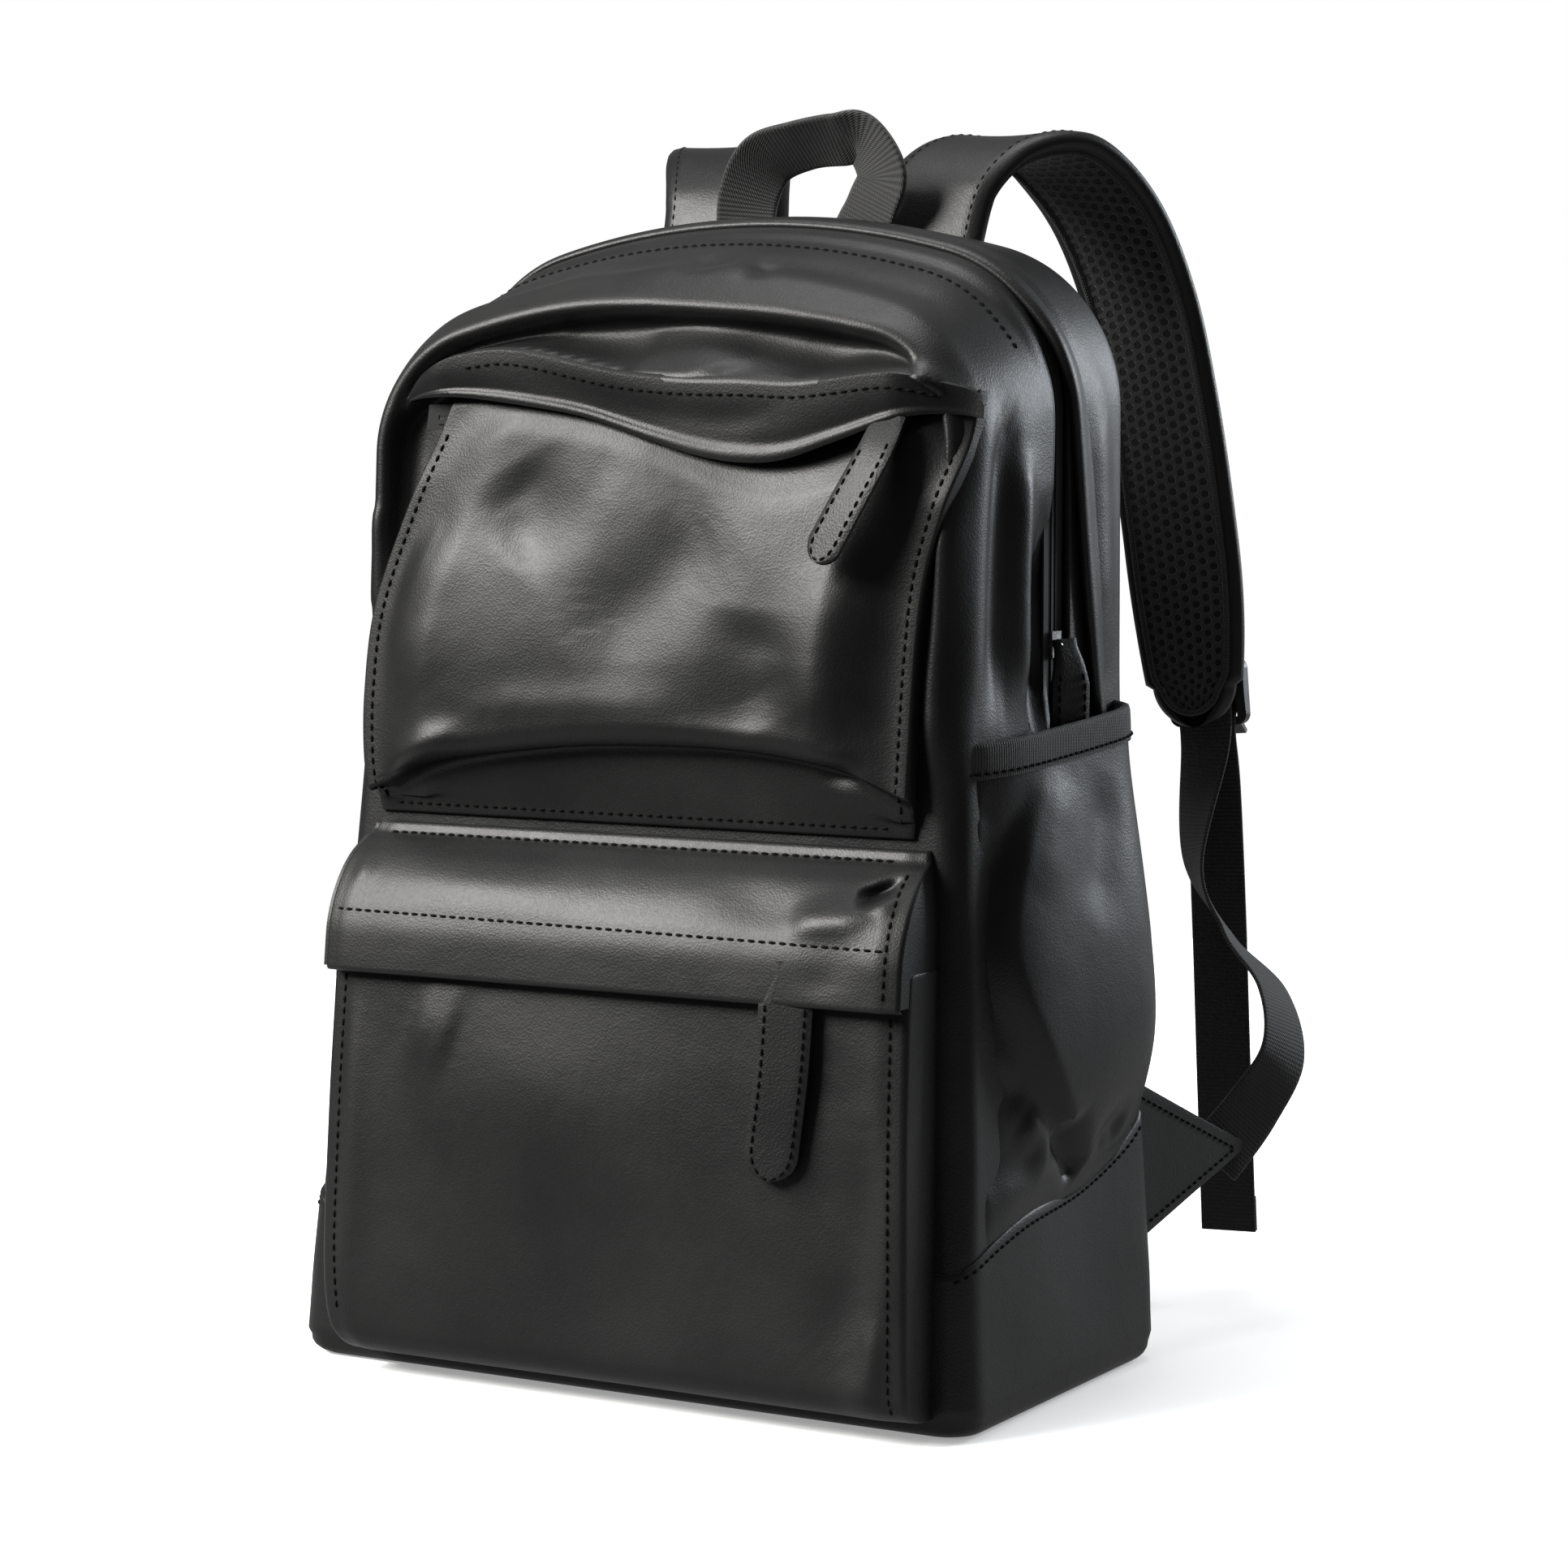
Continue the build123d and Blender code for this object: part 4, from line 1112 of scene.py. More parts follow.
@dataclass(frozen=True)
class BagBody:
    """Front shell, rear shell, zip cover and boot.

    Attributes:
        form: the bag's form.
        relief: its folds.
        rim: radius of the rounded front edge.
        back_rim: radius of the rounded back edge.
        skin: thickness of leather and lining together.
        zip_y: depth of the zip's middle line.
        zip_half: half the slot that the zip closes.
        fold: height of the line that the front folds down about.
        crown: height above which the zip's front border is beaded and stitched.
        zip_tuck: how much nearer to the zip that border comes there.
        bead: height of its bead.
        boot_edge: radius of the boot's lower edge.
        boot_corner: radius of the boot's corners, seen from above.
        boot_out: how far the boot stands off the bag.
        boot_wave: height of the slow dents in it.
    """

    form: BagForm
    relief: Relief
    rim: float = 0.0105
    back_rim: float = 0.009
    skin: float = 0.0022
    zip_y: float = 0.02
    zip_half: float = 0.0065
    fold: float = 0.2165
    crown: float = 0.372
    zip_tuck: float = 0.0056
    bead: float = 0.0018
    boot_edge: float = 0.007
    boot_corner: float = 0.012
    boot_out: float = 0.0011
    boot_wave: float = 0.0008

    def front_columns(self) -> Array:
        """Rounded front edge and gusset as a grid, from the front panel's border to the zip.

        Returns:
            The points, one column for each line along the outline.
        """
        form, columns = self.form, []
        outer = form.front()
        start = form.front_y(outer[:, 1])
        for turn in np.linspace(pi / 2, 0, 9):
            spot = form.ring(start + self.rim * (1 - sin(turn))) + form.inward() * self.rim * (1 - cos(turn))
            spot[:, 1] = form.front_y(spot[:, 2]) + self.rim * (1 - sin(turn))
            columns.append(spot)
        crown = ease((outer[:, 1] - self.crown) / 0.03)
        stop = self.zip_y - self.zip_half + self.zip_tuck * crown
        for share in np.linspace(0, 1, 30)[1:]:
            y = (start + self.rim) * (1 - share) + stop * share
            bead = self.bead * crown * ease((y - 0.004) / 0.006)
            columns.append(form.ring(y) - form.inward() * bead[:, None])
        return np.stack(columns, axis=1)

    def skinned(self, name: str, *grids: Array) -> Object:
        """A lined leather shell over one or more grids, with the relief pressed into it.

        Args:
            name: name of the shell.
            grids: its points; neighbouring grids share their border.

        Returns:
            The shell.
        """
        piece = Piece(name, LEATHER)
        for grid in grids:
            piece.grid(Surface(self.relief.press(grid)))
        return piece.build(thick=self.skin, weld=WELD, inner=LINING, smooth=180)

    def front_shell(self) -> Object:
        """The leather of the front panel, sides and top in front of the zip, in one soft shell.

        Returns:
            The shell.
        """
        strip = self.front_columns()
        panel = self.filled(strip[:, 0])
        panel[..., 1] = self.form.front_y(panel[..., 2])
        shell = self.skinned("front_shell", strip, panel)
        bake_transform(shell)
        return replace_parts(shell, "lower_front_panel", "upper_front_panel", "front_gusset", "flap_lining")

    @staticmethod
    def filled(ring: Array, side: int = 120) -> Array:
        """A sheet that fills an open ring, without a pole.

        Args:
            ring: points from the right foot over the crown to the left foot.
            side: how many of them make up each side; the rest make up the top.

        Returns:
            Rows from the bottom up, columns from left to right.
        """
        right, top, left = ring[:side + 1], ring[side:len(ring) - side][::-1], ring[::-1][:side + 1]
        reach = np.linalg.norm(np.diff(top, axis=0), axis=1).cumsum()
        across = np.r_[0, reach / reach[-1]][:, None]
        bottom = left[0] * (1 - across) + right[0] * across
        up = np.linspace(0, 1, side + 1)[:, None, None]
        u = across[None]
        sides = left[:, None] * (1 - u) + right[:, None] * u
        ends = bottom[None] * (1 - up) + top[None] * up
        corners = (left[0] * (1 - u) + right[0] * u) * (1 - up) + (left[-1] * (1 - u) + right[-1] * u) * up
        return sides + ends - corners

    def rear_shell(self) -> Object:
        """The leather behind the zip with the back panel.

        Returns:
            The shell.
        """
        form, columns = self.form, []
        for share in np.linspace(0, 1, 22):
            y = (self.zip_y + self.zip_half) * (1 - share) + (form.half_depth - self.back_rim) * share
            columns.append(form.ring(y))
        for turn in np.linspace(0, pi / 2, 8)[1:]:
            y = form.half_depth - self.back_rim * (1 - sin(turn))
            columns.append(form.ring(y) + form.inward() * self.back_rim * (1 - cos(turn)))
        strip = np.stack(columns, axis=1)
        shell = self.skinned("rear_shell", strip, self.filled(strip[:, -1])[:, ::-1])
        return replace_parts(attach(shell, "bag"), "rear_gusset", "back_panel", "bag_lining")

    def cover_line(self) -> Array:
        """Depth of the zip cover's free edge at each point of the outline."""
        return through([(0.0, 0.066), (0.2, 0.058), (0.255, 0.047), (0.3, 0.036), (0.345, 0.0275),
                        (0.385, 0.0195), (0.43, 0.0178), (0.5, 0.0178)], self.form.front()[:, 1])

    def zip_cover(self) -> Object:
        """Overlapping strip behind the zip, whose rounded free edge hides the teeth.

        Returns:
            The strip.
        """
        profile = ((0.0012, 0.0002), (-0.0002, 0.0012), (-0.001, 0.0024), (-0.0006, 0.0036), (0.001, 0.0044),
                   (0.0035, 0.0043), (0.007, 0.0033), (0.011, 0.0018), (0.015, 0.0002), (0.019, -0.0012))
        form, lip = self.form, self.cover_line()
        normal = -form.inward()
        grid = np.stack([form.ring(lip + back) + normal * lift for back, lift in profile], axis=1)
        seen = form.front()[:, 1] > self.fold - 0.004
        cover = Piece("zip_cover", LEATHER).grid(Surface(self.relief.press(grid[seen]))).build(smooth=180)
        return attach(cover, "bag")

    def boot_height(self, y: Array) -> Array:
        """Height of the boot's seam, which climbs towards the back."""
        return through([(-0.12, 0.058), (-0.083, 0.0585), (-0.066, 0.066), (-0.029, 0.0745), (0.019, 0.079),
                        (0.058, 0.089), (0.083, 0.101), (0.11, 0.11)], y)

    def boot_ring(self, z: Array | float, out: float) -> Array:
        """Closed plan outline of the boot.

        Args:
            z: its height, or a height for each point.
            out: how far it stands off the bag.

        Returns:
            The points, round the bag from its front right corner.
        """
        form, radius = self.form, self.boot_corner
        corners = []
        for sign_x, sign_y, first in ((1, -1, -pi / 2), (1, 1, 0.0), (-1, 1, pi / 2), (-1, -1, pi)):
            turn = first + np.linspace(0, pi / 2, 9)
            corners.append(np.stack([np.full(9, sign_x), np.full(9, sign_y), np.cos(turn), np.sin(turn)], 1))
        marks = np.vstack(corners)
        ring = []
        for mark, following in zip(marks, np.roll(marks, -1, axis=0)):
            (x, y), (next_x, next_y) = mark[:2], following[:2]
            steps = 1 if (x, y) == (next_x, next_y) else (46 if x == next_x else 76)
            ring += [(1 - t) * mark + t * following for t in np.arange(steps) / steps]
        ring = np.array(ring)
        z = np.broadcast_to(np.asarray(z, float), len(ring))
        x = ring[:, 0] * (form.side_x(z) + out - radius) + ring[:, 2] * radius
        middle = (form.half_depth + form.front_y(z)) / 2
        half = (form.half_depth - form.front_y(z)) / 2 + out
        return np.stack([x, middle + ring[:, 1] * (half - radius) + ring[:, 3] * radius, z], 1)

    def boot(self) -> Object:
        """Leather boot round the base with a folded upper edge and a flat bottom.

        Returns:
            The boot.
        """
        edge = self.boot_edge
        rows = [self.boot_ring(0.0, 0.0) * (share, share, 1) + (0, 0, 0.0006) for share in (0.02, 0.35, 0.65, 0.85)]
        for turn in np.linspace(0, pi / 2, 6):
            rows.append(self.boot_ring(edge * (1 - cos(turn)), -edge * (1 - sin(turn))))
        top = self.boot_height(self.boot_ring(0.06, 0.0)[:, 1])
        for share in np.linspace(0, 1, 22)[1:]:
            rows.append(self.boot_ring(edge + (top - edge) * share, self.boot_out))
        for drop, out in ((-0.0004, 0.0009), (-0.0006, 0.0004), (-0.0002, -0.0012), (0.006, -0.0016)):
            rows.append(self.boot_ring(top - drop, out))
        grid = np.stack(rows)
        x, y, z = grid[..., 0], grid[..., 1], grid[..., 2]
        wave = self.boot_wave * np.sin(x * 70) * np.sin(y * 60) * ease((z - 0.01) / 0.03)
        piece = Piece("boot", BASE_LEATHER).grid(Surface(grid).raised(wave), closed=True)
        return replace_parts(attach(piece.build(smooth=60), "bag"), "base_boot")

    def under_panels(self) -> None:
        """Lets the rear shell stand for the side panels too."""
        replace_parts(bpy.data.objects["rear_shell"], "side_panel_left", "side_panel_right")

    def stitches(self, shell: Object, boot: Object) -> list[Object]:
        """Stitch rows of the gusset seam and the boot.

        Args:
            shell: the front shell.
            boot: the boot.

        Returns:
            The rows.
        """
        form, sewing = self.form, Stitching(pitch=0.0042, length=0.003)
        high = form.ring(-0.002)[form.front()[:, 1] > self.crown]
        rows = [sewing.sew("gusset_stitches", "front_flap", *self.snapped(tree_of(shell), high))]
        ring = self.boot_ring(0.06, 0.0)
        ring[:, 2] = self.boot_height(ring[:, 1]) - 0.0035
        right = ring[(ring[:, 1] < form.half_depth - 0.004) & (ring[:, 0] > 0)]
        right = right[np.argsort(right[:, 1])]
        right, tree = right[right[:, 0] > form.base_half - 0.018], tree_of(boot)
        for name, side in (("boot_stitches_right", 1), ("boot_stitches_left", -1)):
            rows.append(sewing.sew(name, "bag", *self.snapped(tree, right * (side, 1, 1))))
        return rows

    @staticmethod
    def snapped(tree: BVHTree, path: Array) -> tuple[Array, Array]:
        """The nearest points on a surface to a path, and their normals turned away from the bag's middle.

        Args:
            tree: the surface.
            path: a line beside it.

        Returns:
            The points and the normals.
        """
        path = resample(path, 500)
        points, normals = nearest_on(tree, path)
        away = np.c_[path[:, :2], np.maximum(0.0, path[:, 2] - 0.2)]
        return points, normals * np.where((normals * away).sum(axis=1) > 0, 1, -1)[:, None]


# ---- front pockets ------------------------------------------------------------------------------
@dataclass(frozen=True)
class UpperPocket:
    """Soft pocket on the upper front, with a belly that folds over its bottom seam, and the hood above it.

    Attributes:
        form: the bag's form.
        relief: the front's folds, which the hood grows out of.
        left: left edge from the bottom up, as height and X.
        right: right edge, the same way.
        seam_z: height of the bottom seam.
        half: half width over which the lip and the hood's edge are read.
        flange: how far the sewn side edges stand off the front.
        lip: lower edge of the overhanging belly, as X and height.
        belly: profile of the belly above the lip, as standing and height.
        tuck: profile at the hood's edge, as standing and height above that edge.
        folds: creases of the belly.
        hood_edge: lower edge of the hood, as X and height.
        hood_folds: its creases.
    """

    form: BagForm
    relief: Relief
    seam_z: float = 0.218
    half: float = 0.118
    flange: float = 0.0105
    left: Knots = (
        (0.2, -0.116), (0.222, -0.119), (0.24, -0.1225), (0.264, -0.1235), (0.296, -0.1205), (0.331, -0.1085),
        (0.366, -0.093), (0.39, -0.083))
    right: Knots = (
        (0.2, 0.114), (0.222, 0.117), (0.242, 0.1175), (0.286, 0.1185), (0.316, 0.1215), (0.348, 0.13),
        (0.366, 0.1325), (0.39, 0.134))
    lip: Knots = (
        (-0.125, 0.223), (-0.1, 0.2325), (-0.0777, 0.2396), (-0.04, 0.2455), (-0.004, 0.2486), (0.0456, 0.249),
        (0.08, 0.2455), (0.0974, 0.2405), (0.12, 0.231))
    belly: Knots = ((0.0195, 0.262), (0.0208, 0.282), (0.019, 0.31), (0.0158, 0.333))
    tuck: Knots = ((0.0136, -0.011), (0.0118, -0.003), (0.007, 0.003), (0.002, 0.008))
    folds: tuple[Fold, ...] = (
        Fold(((-0.058, 0.352), (-0.048, 0.334), (-0.058, 0.318)), 0.017, -0.0026, fade=0.4),
        Fold(((-0.098, 0.335), (-0.106, 0.295), (-0.088, 0.266)), 0.02, 0.0022, fade=0.4),
        Fold(((0.04, 0.335), (0.012, 0.306), (-0.024, 0.28)), 0.02, -0.0034, fade=0.4),
        Fold(((-0.02, 0.345), (0.004, 0.334), (0.02, 0.34)), 0.016, 0.0012, fade=0.4),
        Fold(((0.1, 0.316), (0.084, 0.284), (0.092, 0.252)), 0.016, 0.0032, fade=0.35),
        Fold(((0.058, 0.3), (0.056, 0.276), (0.066, 0.258)), 0.018, -0.0026, fade=0.4),
        Fold(((-0.08, 0.258), (-0.03, 0.262), (0.04, 0.262)), 0.008, 0.0016, fade=0.4),
        Fold(((0.104, 0.246), (0.092, 0.24), (0.08, 0.24)), 0.004, -0.002, fade=0.4),
        Fold(((-0.112, 0.232), (-0.096, 0.243), (-0.07, 0.252)), 0.005, 0.002, fade=0.4),
    )
    hood_edge: Knots = (
        (-0.113, 0.3772), (-0.1, 0.3785), (-0.08, 0.3785), (-0.0464, 0.3745), (-0.0233, 0.3705), (0.0035, 0.3625),
        (0.0259, 0.3565), (0.0443, 0.354), (0.0623, 0.355), (0.0835, 0.3615), (0.1109, 0.3705), (0.127, 0.3716),
        (0.138, 0.37))
    hood_folds: tuple[Fold, ...] = (
        Fold(((-0.06, 0.388), (-0.02, 0.378), (0.03, 0.37), (0.07, 0.374)), 0.006, -0.0012),
    )

    def pouch(self) -> Surface:
        """The pocket's leather, from the bottom seam up to the hood.

        Returns:
            The surface.
        """
        columns = np.linspace(0, 1, 96)
        guess = self.half * 2 * columns - self.half
        lip = through(self.lip, guess)
        slack = ease((lip - self.seam_z - 0.006) / 0.024)
        edge = through(self.hood_edge, guess)
        knots = [(0.0022, self.seam_z),
                 (0.003, self.seam_z + 0.0045),
                 (0.0036 + 0.003 * slack, np.maximum(lip - 0.01, self.seam_z + 0.006)),
                 (0.005 + 0.003 * slack, np.maximum(lip - 0.003, self.seam_z + 0.0085)),
                 (0.0095, lip - 0.0006 * slack),
                 (0.015, lip - 0.0012 * slack + 0.003 * (1 - slack)),
                 (0.0192, lip + 0.005),
                 *((p, z + (lip - 0.249) * max(0.0, (0.3 - z) / 0.06)) for p, z in self.belly),
                 *((p, edge + z) for p, z in self.tuck)]
        profile = smooth_path([np.concatenate(np.broadcast_arrays(p, z, lip)[:2]) for p, z in knots], 90)
        proud, z = profile[:, :len(columns)], profile[:, len(columns):]
        low, high = through(self.left, z), through(self.right, z)
        x = low + (high - low) * columns
        away = np.minimum(x - low, high - x)
        full = ease((away - 0.004) / 0.032)
        sewn = np.minimum(proud, self.flange)
        stand = sewn + (proud - sewn) * full
        start = 0.014 + 0.02 * (1 - full)
        hidden = ease((z - edge + start) / (start - 0.002))
        under = self.relief.taper(x)
        stand = stand * (1 - hidden + hidden * under * 0.85) - 0.0016 * hidden * (1 - under)
        points = self.form.on_front(x, z, stand)
        held = ease((away - 0.006) / 0.014) * ease((z - self.seam_z - 0.01) / 0.012)
        points[..., 1] -= creased(self.folds, points) * held
        return Surface(points)

    def hood(self) -> Surface:
        """The strip below the crease that overhangs the zip.

        Returns:
            The surface.
        """
        count, relief = 120, self.relief
        edge = resample(smooth_path(self.hood_edge, 300), count)
        crease = np.stack([edge[:, 0], through(relief.hood_crease, edge[:, 0])], 1)
        crease[:, 1] = np.maximum(crease[:, 1], edge[:, 1] + 0.002)
        rows = []
        for share in np.r_[-0.06, np.linspace(0, 1, 20)]:
            flat = crease * (1 - share) + edge * share
            spot, full = self.form.on_front(flat[:, 0], flat[:, 1]), relief.taper(flat[:, 0])
            stand = full * (0.0164 - 0.005 * share + 0.0012 * sin(pi * share)) + 0.0004
            stand = stand + full * 0.0024 * float(ease(np.array((share - 0.76) / 0.16)))
            spot[:, 1] -= stand + creased(self.hood_folds, spot) - (0.0022 if share < 0 else 0)
            rows.append(spot)
        return Surface(np.array(rows)[::-1])

    def build(self) -> list[Object]:
        """Makes the pocket, its hood and their stitches.

        Returns:
            The pieces.
        """
        pouch = self.pouch().rimmed(0.0012, 0.006, (0, 1, 0))
        pocket = Piece("upper_pocket", LEATHER).grid(pouch).build(smooth=80)
        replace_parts(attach(pocket, "front_flap"), "upper_pocket_panel", "upper_pocket_top")
        hood = Piece("upper_hood_leather", LEATHER).grid(self.hood()).build(thick=0.002, bevel=0.0007, smooth=75)
        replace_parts(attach(hood, "front_flap"), "upper_hood")
        tree, inner, low = tree_of(pocket), 0.0036, self.seam_z + 0.0028
        lines = {"upper_left": (tree, [(x + inner, z) for z, x in self.left[1:-1]]),
                 "upper_right": (tree, [(x - inner, z) for z, x in self.right[1:-1]]),
                 "upper_seam": (tree, [(-0.112, low), (0.0, low), (0.112, low)]),
                 "hood": (tree_of(hood), [(x, z - 0.0052) for x, z in self.relief.hood_crease[3:-2]])}
        return [pocket, hood, *(Stitching().sew(f"{name}_stitches", "front_flap", *laid_on(*line))
                                for name, line in lines.items())]


@dataclass(frozen=True)
class LowerPocket:
    """Box pouch on the lower front, with a padded top flap that overhangs the zip.

    Attributes:
        form: the bag's form.
        left: left edge from the bottom up, as height and X.
        right: right edge, the same way.
        face: profile of the pouch from the bottom up, as standing and height.
        flap: profile of the flap above it, the same way.
        face_folds: creases of the pouch.
        flap_folds: creases of the flap.
    """

    form: BagForm
    left: Knots = (
        (0.0, -0.108), (0.011, -0.1145), (0.025, -0.1195), (0.05, -0.1215), (0.1, -0.1212), (0.16, -0.1216),
        (0.19, -0.1222), (0.204, -0.1212), (0.22, -0.115))
    right: Knots = (
        (0.0, 0.1325), (0.012, 0.1325), (0.07, 0.1305), (0.142, 0.1275), (0.175, 0.1265), (0.2, 0.125), (0.22, 0.1205))
    face: Knots = (
        (0.004, 0.0085), (0.01, 0.008), (0.0165, 0.0098), (0.022, 0.015), (0.0242, 0.024), (0.0255, 0.06),
        (0.0262, 0.105), (0.025, 0.145), (0.024, 0.168))
    flap: Knots = (
        (0.0315, 0.159), (0.0312, 0.166), (0.0306, 0.174), (0.0292, 0.18), (0.027, 0.186), (0.0225, 0.194),
        (0.0165, 0.201), (0.01, 0.2063), (0.0055, 0.209), (0.004, 0.212))
    face_folds: tuple[Fold, ...] = (
        Fold(((-0.118, 0.15), (-0.112, 0.09), (-0.117, 0.035)), 0.01, 0.0018),
        Fold(((-0.085, 0.142), (-0.062, 0.134)), 0.016, 0.0018, fade=0.4),
        Fold(((0.094, 0.155), (0.098, 0.11), (0.106, 0.06)), 0.012, -0.002, fade=0.4),
        Fold(((-0.09, 0.14), (-0.04, 0.118), (0.04, 0.12)), 0.03, 0.0022, fade=0.5),
        Fold(((0.12, 0.12), (0.116, 0.07), (0.1, 0.02)), 0.012, -0.0022, fade=0.4),
        Fold(((0.128, 0.05), (0.122, 0.024), (0.108, 0.01)), 0.008, 0.0022, fade=0.4),
        Fold(((-0.06, 0.06), (0.01, 0.045), (0.07, 0.06)), 0.035, -0.002, fade=0.5),
    )
    flap_folds: tuple[Fold, ...] = (
        Fold(((0.123, 0.2055), (0.116, 0.2005), (0.106, 0.196)), 0.0028, -0.0072, fade=0.2),
        Fold(((0.116, 0.1925), (0.1, 0.1895), (0.078, 0.188)), 0.0055, 0.0026, fade=0.4),
        Fold(((0.124, 0.1935), (0.112, 0.199)), 0.004, 0.002, fade=0.4),
        Fold(((-0.11, 0.196), (-0.06, 0.1925), (0.0, 0.19)), 0.008, 0.0012, fade=0.5),
        Fold(((0.04, 0.198), (0.075, 0.192), (0.098, 0.196)), 0.008, -0.0016, fade=0.5),
        Fold(((0.112, 0.178), (0.1, 0.17), (0.098, 0.16)), 0.009, -0.0006, fade=0.4),
        Fold(((-0.124, 0.204), (-0.116, 0.199), (-0.11, 0.19)), 0.005, 0.002, fade=0.4),
    )

    def sheet(self, profile: Knots, folds: tuple[Fold, ...], rows: int,
              margin: float, drop: float, spread: float = 0.0) -> Surface:
        """A leather face between the pocket's edges.

        Args:
            profile: standing and height from the bottom up.
            folds: its creases.
            rows: how many rows of points.
            margin: width over which the face bends down to its sewn edge.
            drop: how much lower the sewn edge lies.
            spread: extra width on the right.

        Returns:
            The surface.
        """
        line = smooth_path(profile, rows)
        low, high = through(self.left, line[:, 1]), through(self.right, line[:, 1]) + spread
        x = low[:, None] + (high - low)[:, None] * np.linspace(0, 1, 110)
        away = np.minimum(x - low[:, None], high[:, None] - x)
        sunk = drop * (1 - ease(away / margin))
        points = self.form.on_front(x, line[:, 1][:, None], line[:, 0][:, None] - sunk)
        points[..., 1] -= creased(folds, points) * ease((away - 0.003) / 0.01)
        return Surface(points)

    def build(self) -> list[Object]:
        """Makes the pouch, the flap and their stitches.

        Returns:
            The pieces.
        """
        face = self.sheet(self.face, self.face_folds, 84, 0.01, 0.0016)
        flap = self.sheet(self.flap, self.flap_folds, 60, 0.008, 0.0014, 0.0008)
        pouch = Piece("lower_pocket", LEATHER).grid(face.rimmed(0.0026, 0.026, (0, 1, 0))).build(smooth=70)
        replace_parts(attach(pouch, "bag"), "lower_pocket_tray")
        lid = Piece("lower_flap", LEATHER).grid(flap.rimmed(0.0016, 0.0, (0, 1, 0)))
        lid = lid.grid(self.side_wall(flap, -1)).grid(self.side_wall(flap, 0)).build(thick=0.0016, smooth=70)
        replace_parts(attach(lid, "bag"), "lower_pocket_top", "lower_band")
        tree, top, inner = tree_of(pouch), tree_of(lid), 0.0042
        lines = {"pouch_right": (tree, [*((x - inner, z) for z, x in self.right[1:4]), (0.1268 - inner, 0.158)]),
                 "pouch_left": (tree, [(x + inner, z) for z, x in self.left[2:6]]),
                 "flap_band": (top, [(-0.12, 0.1812), (0.0, 0.1806), (0.125, 0.1796)]),
                 "flap_top": (top, [(-0.112, 0.2092), (0.0, 0.2092), (0.116, 0.2092)]),
                 "flap_right": (top, [(0.123, 0.1615), (0.1225, 0.18), (0.1205, 0.206)])}
        return [pouch, lid, *(Stitching().sew(f"{name}_stitches", "bag", *laid_on(*line))
                              for name, line in lines.items())]

    @staticmethod
    def side_wall(flap: Surface, column: int) -> Surface:
        """Gusset that closes one end of the flap back to the bag.

        Args:
            flap: the flap's face.
            column: 0 for its left end, -1 for its right end.

        Returns:
            The gusset.
        """
        out = (0.0013 if column else -0.0013, 0.0, 0.0)
        shares = np.linspace(0, 1, 6)[None, :, None]
        return Surface(flap.points[:, column][:, None] + out + (0, 0.0012, 0) + np.array([0, 0.03, 0]) * shares)


